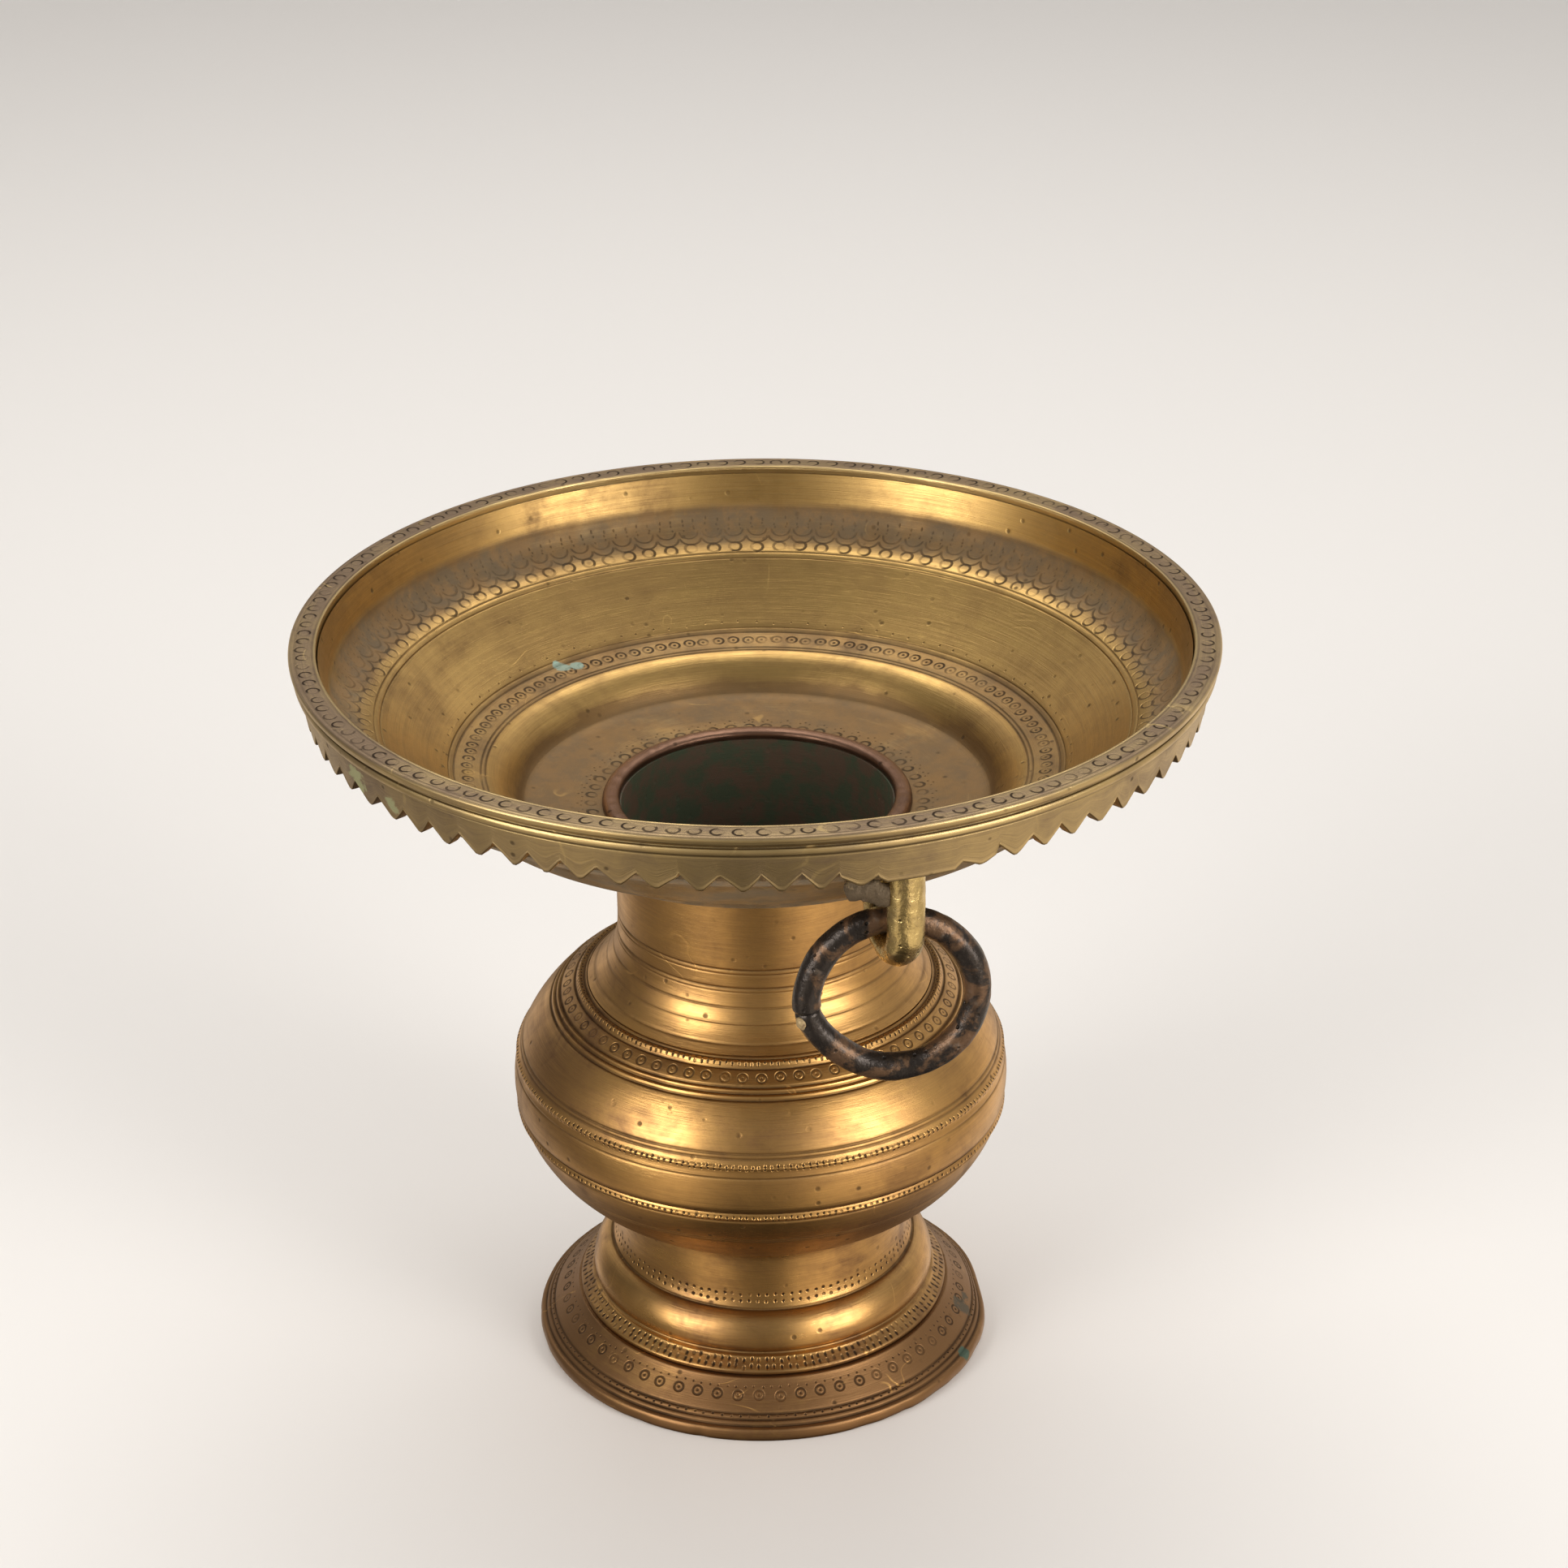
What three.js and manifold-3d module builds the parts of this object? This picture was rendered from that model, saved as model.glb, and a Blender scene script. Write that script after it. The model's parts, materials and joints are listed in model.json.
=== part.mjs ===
// Footed brass vessel: a wide dish with a saw-toothed rim stands on the neck of a round pot,
// the pot stands on a turned foot, and one ring hangs in a lug under the rim.
// Millimetres, +Z up, origin on the axis at the level the base stands on. The lug faces -Y.
import * as THREE from "three";
import { mergeVertices } from "three/addons/utils/BufferGeometryUtils.js";
import Module from "manifold-3d";

const wasm = await Module();
wasm.setup();

// ---- Driving dimensions -------------------------------------------------------------------

const jointGap = 0.3; // brazed and seated faces stand this far apart

const base = {
  radius: 78.6,
  topMargin: 0.7, // how far its top stands out past the stem's collar
  height: 16.6,
  wall: 2.8,
  edgeHeight: 2.2, // where the turned edge is widest
  edgeRound: 1.4,
  treadWidth: 3.2, // the flat ring it stands on
};

const foot = {
  height: 43.2, // from the base plate to the pot's bottom
  stemRadius: 50.4,
  stemFlare: 4.4, // how far the stem widens down to the torus
  torusTop: 21.4, // heights above the base plate
  torusBottom: 7.4,
  torusRadius: 59.3,
  torusFootRadius: 58.6,
  collarRadius: 63.9,
  wall: 3.2,
};

const pot = {
  bottomMargin: 7.6, // how far its flat bottom stands out past the stem
  bellyRadius: 84,
  belowBelly: 40.4, // heights from the belly's widest point
  aboveBelly: 37,
  seamBelowBelly: 7.6,
  lowerFullness: 0.72, // 0.5 is an ellipse, 1 is nearly a cone
  upperFullness: 0.84,
  wall: 2.8,
  seatDepth: 2, // the ledge that the neck's foot rests on
  seatWidth: 4.6,
};

const neck = {
  radius: 47.3,
  height: 66.2,
  flareWidth: 10.7, // how far its foot spreads past the tube
  flareHeight: 25,
  flareSteepness: 2.7,
  wall: 2.3,
};

const dish = {
  rimRadius: 141, // its edge, inside the rim band
  depth: 46.8, // from the edge down to the floor at the mouth
  coveWidth: 7,
  coveDepth: 6.4,
  ledgeRadius: 123.3,
  ledgeDepth: 11,
  bandOuterRadius: 99.5,
  bandOuterDepth: 30.9,
  bandInnerRadius: 89,
  bandInnerDepth: 33,
  wellRadius: 77,
  wellDepth: 43.8,
  floorDepth: 45.2,
  floorRadius: 71,
  wall: 2.6,
};

const rim = {
  height: 15, // the upright wall above the dish's edge
  width: 8.7, // widths are measured out from its upright inner wall
  lipDepth: 3.2,
  grooveDepth: 1.6,
  mouldingDepth: 8,
  skirtTopWidth: 6.1,
  skirtBottomWidth: 3.9,
  skirtDrop: 20, // from the rim's top to the tips of the teeth
  teeth: 80,
  toothHeight: 5.4,
  plainHalfAngle: 5, // degrees each side of the lug with no teeth
};

const mouthRing = { width: 5.8, height: 2.8, setback: 0.4 }; // setback: from the neck's bore

const ring = {
  radius: 25.7, // to the middle of the wire
  wire: 8.8,
  hangDepth: 28.2, // from the dish's edge
  turn: 14, // degrees it hangs turned about the vertical
};
const lug = {
  width: 11.8,
  thickness: 9.6,
  clearance: 1.1, // from the ring's wire to each leg
  seatGap: 0.4, // under the ring's wire
  skirtGap: 0.4, // from its outer leg to the skirt
};

// Facets round the axis; the rim band has one column at each tooth's tip and one at each root.
const potFacets = 40;
const dishFacets = 48;
const rimFacets = 2 * rim.teeth;

// ---- Radii and heights worked out from them -----------------------------------------------

const baseTopRadius = foot.collarRadius + base.topMargin;
const potBottomRadius = foot.stemRadius + pot.bottomMargin;
const neckFootRadius = neck.radius + neck.flareWidth;
const potMouthRadius = neckFootRadius + jointGap;
const neckBore = neck.radius - neck.wall;
const mouthBore = neckBore + mouthRing.setback;
const rimInnerRadius = dish.rimRadius + jointGap;

const footZ = base.height + jointGap;
const potBottomZ = footZ + foot.height + jointGap;
const bellyZ = potBottomZ + pot.belowBelly;
const seamZ = bellyZ - pot.seamBelowBelly;
const potTopZ = bellyZ + pot.aboveBelly;
const neckZ = potTopZ - pot.seatDepth + jointGap;
const neckTopZ = neckZ + neck.height;
const dishFloorZ = neckTopZ;
const dishEdgeZ = dishFloorZ + dish.depth;
const rimTopZ = dishEdgeZ + rim.height;

// ---- Shapes -------------------------------------------------------------------------------

const point = (r, z) => new THREE.Vector2(r, z);

// Points of a curve from start to end that leaves and arrives towards the corner between them.
function bend(start, corner, end, steps) {
  return new THREE.QuadraticBezierCurve(start, corner, end).getPoints(steps);
}

// A round bowl's outline from its narrow end to its widest point; fullness sets how square it is.
function bulge(narrow, wide, fullness, steps) {
  return Array.from({ length: steps + 1 }, (_, i) => {
    const share = Math.cos(((i / steps) * Math.PI) / 2);
    const swell = (1 - share * share) ** fullness;
    return point(
      narrow.x + (wide.x - narrow.x) * swell,
      wide.y + (narrow.y - wide.y) * share,
    );
  });
}

// The same outline moved sideways, to the left of its direction of travel for a positive distance.
function offset(outline, distance) {
  return outline.map((p, i) => {
    const along = outline[Math.min(i + 1, outline.length - 1)]
      .clone()
      .sub(outline[Math.max(i - 1, 0)])
      .normalize();
    return point(p.x - along.y * distance, p.y + along.x * distance);
  });
}

// A closed outline in (radius, height) turned about the Z axis. Its first column is at -Y.
function revolve(outline, facets) {
  const profile = THREE.ShapeUtils.area(outline) > 0 ? outline : [...outline].reverse();
  const closed = profile[0].x === 0 ? profile : [...profile, profile[0]];
  return new THREE.LatheGeometry(closed, facets).rotateX(Math.PI / 2);
}

function solidOf(geometry) {
  const bare = new THREE.BufferGeometry();
  bare.setAttribute("position", geometry.getAttribute("position"));
  bare.setIndex(geometry.index);
  const merged = mergeVertices(bare, 1e-3);
  return new wasm.Manifold(
    new wasm.Mesh({
      numProp: 3,
      vertProperties: merged.attributes.position.array,
      triVerts: new Uint32Array(merged.index.array),
    }),
  );
}

function geometryOf(solid) {
  const mesh = solid.getMesh();
  const geometry = new THREE.BufferGeometry();
  geometry.setAttribute("position", new THREE.BufferAttribute(mesh.vertProperties, 3));
  geometry.setIndex(new THREE.BufferAttribute(mesh.triVerts, 1));
  const faceted = geometry.toNonIndexed();
  faceted.computeVertexNormals();
  return faceted;
}

// ---- The foot -----------------------------------------------------------------------------

// The sloping plate that the vessel stands on: a thin cone with a thick turned edge.
function basePlate() {
  const inner = foot.collarRadius - foot.wall - 2;
  const treadOuter = base.radius - base.edgeRound;
  const edgeTop = base.edgeHeight + 2 * base.edgeRound;
  const top = [
    point(inner, base.height),
    point(baseTopRadius, base.height),
    point(base.radius - 1.5 * base.edgeRound, edgeTop + 0.9),
    ...bend(
      point(base.radius - base.edgeRound, edgeTop - 0.2),
      point(base.radius, edgeTop - 0.6),
      point(base.radius, base.edgeHeight),
      2,
    ),
    point(base.radius - 0.4, 0.7),
    point(treadOuter, 0),
  ];
  const under = [
    point(treadOuter - base.treadWidth, 0),
    point(treadOuter - base.treadWidth - 1, base.edgeHeight),
    point(baseTopRadius - 1.6, base.height - base.wall),
    point(inner, base.height - base.wall),
  ];
  return revolve([...top, ...under], potFacets);
}

// The turned stem: a waisted tube, then a torus, then the collar that sits on the base plate.
function footStem() {
  const top = footZ + foot.height;
  const torusTop = footZ + foot.torusTop;
  const torusBottom = footZ + foot.torusBottom;
  const stemFoot = foot.stemRadius + foot.stemFlare;
  const outside = [
    point(foot.stemRadius, top),
    ...bend(
      point(foot.stemRadius + 0.4, torusTop + 14),
      point(foot.stemRadius + 0.8, torusTop + 4),
      point(stemFoot - 0.6, torusTop + 0.6),
      3,
    ),
    ...bend(
      point(stemFoot, torusTop - 0.6),
      point(foot.torusRadius + 0.2, torusTop - 2),
      point(foot.torusRadius, torusTop - 7),
      3,
    ),
    point(foot.torusFootRadius, torusBottom),
    ...bend(
      point(foot.torusFootRadius + 1, torusBottom - 1),
      point(foot.collarRadius, torusBottom - 0.8),
      point(foot.collarRadius, footZ + 2.4),
      2,
    ),
    point(foot.collarRadius, footZ),
  ];
  const inside = [
    point(foot.collarRadius - foot.wall, footZ),
    point(foot.torusFootRadius - foot.wall, torusBottom),
    point(foot.torusFootRadius - foot.wall, torusTop - 6),
    point(foot.stemRadius - foot.wall, torusTop + 4),
    point(foot.stemRadius - foot.wall, top),
  ];
  return revolve([...outside, ...inside], potFacets);
}

// ---- The pot ------------------------------------------------------------------------------

const potLowerOutline = bulge(
  point(potBottomRadius, potBottomZ),
  point(pot.bellyRadius, bellyZ),
  pot.lowerFullness,
  24,
);
const potUpperOutline = bulge(
  point(potMouthRadius, potTopZ),
  point(pot.bellyRadius, bellyZ),
  pot.upperFullness,
  9,
);

// The radius of a rising or falling outline at a height.
function radiusAt(outline, z) {
  const i = outline.findIndex((p, n) => n > 0 && (p.y - z) * (outline[n - 1].y - z) <= 0);
  const [a, b] = [outline[i - 1], outline[i]];
  return a.x + ((b.x - a.x) * (z - a.y)) / (b.y - a.y);
}

// The closed lower half of the pot, up to the seam just under the belly's widest point.
function lowerBowl() {
  const below = potLowerOutline.filter((p, i) => i % 2 === 0 && p.y < seamZ - 2);
  const outside = [...below, point(radiusAt(potLowerOutline, seamZ), seamZ)];
  const inside = offset(outside, pot.wall).slice(1);
  inside[inside.length - 1] = point(outside.at(-1).x - pot.wall, seamZ);
  const floorZ = potBottomZ + pot.wall;
  const aboveFloor = inside.filter((p) => p.y > floorZ + 1);
  return revolve(
    [
      point(0, potBottomZ),
      ...outside,
      ...aboveFloor.reverse(),
      point(aboveFloor.at(-1).x - 4, floorZ),
      point(0, floorZ),
    ],
    potFacets,
  );
}

// The upper half of the pot, from the seam to the ledge that holds the neck's foot.
function shoulderShell() {
  const start = seamZ + jointGap;
  const belly = potLowerOutline.filter((p, i) => i % 4 === 0 && p.y > start + 2);
  const outside = [
    point(radiusAt(potLowerOutline, start), start),
    ...belly.slice(0, -1),
    ...[...potUpperOutline].reverse(),
  ];
  const ledgeZ = potTopZ - pot.seatDepth;
  const inner = potMouthRadius - pot.seatWidth;
  const inside = offset(outside, pot.wall).filter((p) => p.y < ledgeZ - pot.wall - 1.5);
  inside[0] = point(outside[0].x - pot.wall, start);
  return revolve(
    [
      ...outside,
      point(potMouthRadius, ledgeZ),
      point(inner, ledgeZ),
      point(inner, ledgeZ - pot.wall),
      ...inside.reverse(),
    ],
    potFacets,
  );
}

// The neck: a straight tube that passes through the dish's floor and flares out onto the pot.
function neckTube() {
  const footEdge = neckZ + pot.seatDepth;
  const flareTop = footEdge + neck.flareHeight;
  const steps = 7;
  const flare = Array.from({ length: steps + 1 }, (_, i) => {
    const share = 1 - i / steps;
    return point(
      neck.radius + (neckFootRadius - neck.radius) * share ** neck.flareSteepness,
      flareTop - neck.flareHeight * share,
    );
  });
  const innerFoot = potMouthRadius - pot.seatWidth;
  const outside = [point(neckFootRadius, neckZ), ...flare, point(neck.radius, neckTopZ)];
  const inside = offset(flare, neck.wall).filter((p) => p.x < innerFoot && p.y > neckZ + 3);
  return revolve(
    [
      ...outside,
      point(neckBore, neckTopZ),
      ...inside.reverse(),
      point(innerFoot, neckZ + 2),
      point(innerFoot, neckZ),
    ],
    potFacets,
  );
}

// The half-round copper ring that covers the joint between the neck and the dish's floor.
function mouthLip() {
  const z = dishFloorZ + jointGap;
  const outer = mouthBore + mouthRing.width;
  const crown = z + mouthRing.height;
  const middle = (mouthBore + outer) / 2;
  return revolve(
    [
      point(mouthBore, z),
      ...bend(point(outer, z), point(outer, crown), point(middle, crown), 3),
      ...bend(point(middle, crown), point(mouthBore, crown), point(mouthBore, z + 0.8), 3).slice(1),
    ],
    potFacets,
  );
}

// ---- The dish -----------------------------------------------------------------------------

// The dish's upper surface, from its edge in to the hole in its floor.
function dishOutline(steps) {
  const at = (radius, depth) => point(radius, dishEdgeZ - depth);
  const edge = at(dish.rimRadius, 0);
  const coveEnd = at(dish.rimRadius - dish.coveWidth, dish.coveDepth);
  const ledge = at(dish.ledgeRadius, dish.ledgeDepth);
  const bandOuter = at(dish.bandOuterRadius, dish.bandOuterDepth);
  const bandInner = at(dish.bandInnerRadius, dish.bandInnerDepth);
  const well = at(dish.wellRadius, dish.wellDepth);
  const slope = at(
    (dish.ledgeRadius + dish.bandOuterRadius) / 2,
    (dish.ledgeDepth + dish.bandOuterDepth) / 2 + 1,
  );
  return [
    ...bend(edge, at(dish.rimRadius - 1.5, dish.coveDepth - 1.6), coveEnd, steps),
    ...bend(ledge, slope, bandOuter, steps),
    ...bend(bandInner, at(dish.bandInnerRadius - 6, dish.bandInnerDepth + 0.8), well, steps + 1),
    at(dish.floorRadius, dish.floorDepth),
    at(mouthBore + mouthRing.width + 1, dish.depth),
    at(neck.radius + jointGap, dish.depth),
  ];
}

// The dish's underside, from its edge in to the neck, a given distance under the upper surface.
function dishUnderside(distance) {
  const curved = offset(dishOutline(2), distance).slice(1, -1);
  return [
    point(dish.rimRadius, dishEdgeZ - distance - 1),
    ...curved.filter((p) => p.x < dish.rimRadius - 1),
    point(neck.radius + jointGap, dishFloorZ - distance),
  ];
}

// The pan. Its hole lets the neck's top end through.
function dishPan() {
  return revolve([...dishOutline(2), ...dishUnderside(dish.wall).reverse()], dishFacets);
}

// The rim band: a flat top, a rounded lip, a moulding, and a skirt cut into teeth.
function rimBand() {
  const outer = rimInnerRadius + rim.width;
  const tipZ = rimTopZ - rim.skirtDrop;
  const rootZ = tipZ + rim.toothHeight;
  const outline = [
    point(rimInnerRadius, rimTopZ),
    point(outer - 0.8, rimTopZ),
    point(outer, rimTopZ - 1),
    point(outer, rimTopZ - rim.lipDepth + 0.6),
    point(outer - rim.grooveDepth, rimTopZ - rim.lipDepth - 0.6),
    point(outer - 0.8, rimTopZ - rim.lipDepth - 1.8),
    point(outer - 1.2, rimTopZ - rim.mouldingDepth + 0.6),
    point(rimInnerRadius + rim.skirtTopWidth, rimTopZ - rim.mouldingDepth),
    point(rimInnerRadius + rim.skirtBottomWidth, tipZ),
    point(rimInnerRadius, tipZ),
  ];
  const geometry = revolve(outline, rimFacets);
  raiseToothRoots(geometry, tipZ, rootZ);
  return geometry;
}

// Lifts every second column of the band's lower edge, so that the edge becomes a row of V cuts.
function raiseToothRoots(geometry, tipZ, rootZ) {
  const p = geometry.getAttribute("position");
  const column = (2 * Math.PI) / rimFacets;
  const skirtSlope =
    (rim.skirtTopWidth - rim.skirtBottomWidth) / (rim.skirtDrop - rim.mouldingDepth);
  for (let i = 0; i < p.count; i++) {
    const angle = Math.atan2(p.getX(i), -p.getY(i));
    const isRoot = Math.round(angle / column) % 2 !== 0;
    const isPlain = Math.abs(angle) < THREE.MathUtils.degToRad(rim.plainHalfAngle);
    if (p.getZ(i) > tipZ + 0.01 || !isRoot || isPlain) continue;
    const radius = Math.hypot(p.getX(i), p.getY(i));
    const isOuter = radius > rimInnerRadius + rim.skirtBottomWidth / 2;
    const scale = isOuter ? 1 + (skirtSlope * (rootZ - tipZ)) / radius : 1;
    p.setXYZ(i, p.getX(i) * scale, p.getY(i) * scale, rootZ);
  }
}

// ---- The ring and its lug -----------------------------------------------------------------

// The ring hangs in the lug's bend. legSpan is from the middle of its wire to a leg's middle.
const legSpan = ring.wire / 2 + lug.clearance + lug.thickness / 2;
const ringTopZ = dishEdgeZ - ring.hangDepth;
const hangRadius = rimInnerRadius - lug.skirtGap - lug.thickness / 2 - legSpan;
const hangY = -hangRadius;

function handleRing() {
  return new THREE.TorusGeometry(ring.radius, ring.wire / 2, 12, 36)
    .rotateX(Math.PI / 2)
    .rotateZ(THREE.MathUtils.degToRad(-ring.turn))
    .translate(0, hangY, ringTopZ - ring.radius);
}

// A U of thick bar in the plane through the axis; both legs are cut to the dish's underside.
function handleLug() {
  const bendZ = ringTopZ - ring.wire / 2 - lug.seatGap - lug.thickness / 2 + legSpan;
  const legTop = dishEdgeZ + 4;
  const path = new THREE.CurvePath();
  const at = (y, z) => new THREE.Vector3(0, y, z);
  path.add(new THREE.LineCurve3(at(hangY - legSpan, legTop), at(hangY - legSpan, bendZ)));
  const turn = Array.from({ length: 11 }, (_, i) => {
    const angle = (i / 10) * Math.PI;
    return at(hangY - legSpan * Math.cos(angle), bendZ - legSpan * Math.sin(angle));
  });
  path.add(new THREE.CatmullRomCurve3(turn));
  path.add(new THREE.LineCurve3(at(hangY + legSpan, bendZ), at(hangY + legSpan, legTop)));
  const section = new THREE.Shape();
  section.absellipse(0, 0, lug.thickness / 2, lug.width / 2, 0, 2 * Math.PI);
  const bar = new THREE.ExtrudeGeometry(section, {
    extrudePath: path,
    steps: 28,
    curveSegments: 6,
  });
  return geometryOf(solidOf(bar).subtract(solidOf(aboveTheDish())));
}

// Everything above the dish's underside, with the joint gap, out to the rim band's inner face.
function aboveTheDish() {
  const under = dishUnderside(dish.wall + jointGap);
  const edge = dish.rimRadius + 6;
  return revolve(
    [point(edge, rimTopZ), point(edge, under[0].y), ...under, point(neck.radius, rimTopZ)],
    dishFacets,
  );
}

// ---- The finishes and the whole vessel ----------------------------------------------------

const finish = (color, roughness, metalness) =>
  new THREE.MeshStandardMaterial({ color, roughness, metalness, flatShading: true });

const dishBrass = finish(0x9c7b3e, 0.36, 1);
const potBrass = finish(0xb0813c, 0.33, 1);
const copper = finish(0x8d5a43, 0.35, 1);
const lugBrass = finish(0xa48a4c, 0.4, 1);
const darkBronze = finish(0x3d322b, 0.45, 0.9);

const vessel = new THREE.Group();
const nodes = [
  ["base_plate", basePlate, potBrass],
  ["foot_stem", footStem, potBrass],
  ["lower_bowl", lowerBowl, potBrass],
  ["shoulder_shell", shoulderShell, potBrass],
  ["neck_tube", neckTube, potBrass],
  ["mouth_ring", mouthLip, copper],
  ["dish_pan", dishPan, dishBrass],
  ["rim_band", rimBand, dishBrass],
  ["handle_lug", handleLug, lugBrass],
  ["handle_ring", handleRing, darkBronze],
];
for (const [name, shape, material] of nodes) {
  const mesh = new THREE.Mesh(shape(), material);
  mesh.name = name;
  vessel.add(mesh);
}

export default vessel;
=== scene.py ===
"""Footed brass vessel with a ring handle: its fine pieces and finishes over the packed frame.

The vessel is a wide dish with a saw-toothed rim on the neck of a round pot, on a turned foot.
Lengths below are millimetres unless a name says otherwise; meshes are made in metres.
"""

import json
import math

import bpy
import numpy as np
from mathutils import Matrix, Vector, noise
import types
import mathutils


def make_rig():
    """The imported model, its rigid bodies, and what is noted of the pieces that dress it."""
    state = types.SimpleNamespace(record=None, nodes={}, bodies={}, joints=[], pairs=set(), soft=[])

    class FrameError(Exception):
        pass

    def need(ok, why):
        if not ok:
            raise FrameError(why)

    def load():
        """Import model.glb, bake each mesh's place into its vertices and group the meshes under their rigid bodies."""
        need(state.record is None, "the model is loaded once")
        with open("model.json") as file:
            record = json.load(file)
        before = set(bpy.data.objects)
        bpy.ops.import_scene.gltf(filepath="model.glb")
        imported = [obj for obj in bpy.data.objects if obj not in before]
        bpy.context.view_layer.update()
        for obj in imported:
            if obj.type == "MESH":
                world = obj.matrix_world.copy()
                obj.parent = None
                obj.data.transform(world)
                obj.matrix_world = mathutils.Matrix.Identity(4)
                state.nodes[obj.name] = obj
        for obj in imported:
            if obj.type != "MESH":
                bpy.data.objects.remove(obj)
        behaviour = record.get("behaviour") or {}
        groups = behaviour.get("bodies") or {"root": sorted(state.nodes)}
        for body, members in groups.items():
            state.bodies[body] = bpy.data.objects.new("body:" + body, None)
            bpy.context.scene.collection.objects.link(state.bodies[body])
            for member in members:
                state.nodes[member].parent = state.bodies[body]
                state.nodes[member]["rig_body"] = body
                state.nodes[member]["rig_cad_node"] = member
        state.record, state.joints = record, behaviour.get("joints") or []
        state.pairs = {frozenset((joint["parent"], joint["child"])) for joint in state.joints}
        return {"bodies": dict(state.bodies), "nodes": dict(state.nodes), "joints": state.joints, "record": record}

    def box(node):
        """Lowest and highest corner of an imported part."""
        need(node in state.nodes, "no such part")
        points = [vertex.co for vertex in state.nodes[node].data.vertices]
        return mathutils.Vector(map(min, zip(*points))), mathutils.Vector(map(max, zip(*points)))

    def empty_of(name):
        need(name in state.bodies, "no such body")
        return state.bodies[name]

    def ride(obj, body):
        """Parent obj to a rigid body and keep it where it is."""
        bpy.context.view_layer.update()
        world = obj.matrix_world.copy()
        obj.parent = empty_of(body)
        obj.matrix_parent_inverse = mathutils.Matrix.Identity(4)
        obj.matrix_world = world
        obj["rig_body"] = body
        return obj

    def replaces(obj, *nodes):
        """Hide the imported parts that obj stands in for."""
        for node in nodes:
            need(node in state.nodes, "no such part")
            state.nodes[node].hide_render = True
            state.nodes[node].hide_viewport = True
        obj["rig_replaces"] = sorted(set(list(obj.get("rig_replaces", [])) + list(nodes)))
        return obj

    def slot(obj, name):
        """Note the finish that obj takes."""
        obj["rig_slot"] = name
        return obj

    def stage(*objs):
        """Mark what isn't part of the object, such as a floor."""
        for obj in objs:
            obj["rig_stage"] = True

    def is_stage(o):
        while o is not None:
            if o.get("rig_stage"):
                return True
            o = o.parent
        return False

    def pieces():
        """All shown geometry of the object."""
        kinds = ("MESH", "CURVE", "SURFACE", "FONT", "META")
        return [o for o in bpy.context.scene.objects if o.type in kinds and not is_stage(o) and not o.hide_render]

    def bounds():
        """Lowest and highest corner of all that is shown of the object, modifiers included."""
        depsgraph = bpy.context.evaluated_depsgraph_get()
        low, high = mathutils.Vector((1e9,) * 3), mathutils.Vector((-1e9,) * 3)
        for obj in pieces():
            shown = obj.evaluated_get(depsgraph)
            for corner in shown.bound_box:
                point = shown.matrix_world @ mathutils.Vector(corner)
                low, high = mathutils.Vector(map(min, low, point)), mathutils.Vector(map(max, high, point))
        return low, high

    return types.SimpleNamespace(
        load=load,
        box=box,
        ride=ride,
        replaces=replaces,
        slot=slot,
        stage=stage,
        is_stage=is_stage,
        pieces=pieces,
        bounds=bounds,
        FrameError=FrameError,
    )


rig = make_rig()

bl_info = {
    "name": "Footed brass vessel",
    "version": (1, 0, 0),
    "blender": (4, 5, 0),
    "location": "View3D > Sidebar > Vessel",
    "description": "Builds the turned pieces, ring handle and finishes of a footed brass vessel",
    "category": "Add Mesh",
}

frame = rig.load()
cad_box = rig.bounds()

MM = 0.001
FULL_TURN = 2 * math.pi
UP = Vector((0, 0, 1))
# A closed floor's faces stop this far from the vessel's axis.
AXIS_GAP = 0.02


# ---- Places taken from the frame -----------------------------------------------------------


class Extent:
    """A turned node's outer radius, lowest and highest level, in millimetres."""

    def __init__(self, node):
        low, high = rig.box(node)
        self.radius = -low.y / MM
        self.low = low.z / MM
        self.high = high.z / MM


PLATE = Extent("base_plate")
STEM = Extent("foot_stem")
BOWL = Extent("lower_bowl")
SHOULDER = Extent("shoulder_shell")
NECK = Extent("neck_tube")
LIP = Extent("mouth_ring")
DISH = Extent("dish_pan")
RIM = Extent("rim_band")
SWING = next(j for j in frame["joints"] if j["name"] == "ring_swing")


# ---- Outlines ------------------------------------------------------------------------------


def trace(start, *legs, pitch=2.5, bend_steps=8):
    """Points along an outline in (radius, height): a leg is an end, or a corner and an end."""
    points = [start]
    for leg in legs:
        begin = np.array(points[-1], float)
        if isinstance(leg[0], tuple):
            corner, end = np.array(leg[0], float), np.array(leg[1], float)
            for t in np.linspace(0, 1, bend_steps + 1)[1:]:
                spot = begin * (1 - t) ** 2 + corner * 2 * t * (1 - t) + end * t * t
                points.append(tuple(spot))
        else:
            end = np.array(leg, float)
            count = max(1, math.ceil(np.linalg.norm(end - begin) / pitch))
            for t in np.linspace(0, 1, count + 1)[1:]:
                points.append(tuple(begin + (end - begin) * t))
    return points


def bulge(narrow, wide, fullness, steps=26):
    """A round bowl's outline from its narrow end to its widest point."""
    points = []
    for i in range(steps + 1):
        share = math.cos(i / steps * math.pi / 2)
        swell = (1 - share * share) ** fullness
        radius = narrow[0] + (wide[0] - narrow[0]) * swell
        points.append((radius, wide[1] + (narrow[1] - wide[1]) * share))
    return points


def radius_at(points, height):
    """The radius of a rising or falling outline at a level."""
    for (r0, z0), (r1, z1) in zip(points, points[1:]):
        if (z0 - height) * (z1 - height) <= 0 and z0 != z1:
            return r0 + (r1 - r0) * (height - z0) / (z1 - z0)
    raise ValueError(f"the outline doesn't pass the level {height}")


def moved_out(points, distance):
    """The outline moved sideways, to the left of its direction of travel."""
    spots = np.array(points, float)
    along = np.gradient(spots, axis=0)
    along /= np.linalg.norm(along, axis=1)[:, None]
    left = np.stack([-along[:, 1], along[:, 0]], axis=1)
    return [tuple(p) for p in spots + left * distance]


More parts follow.
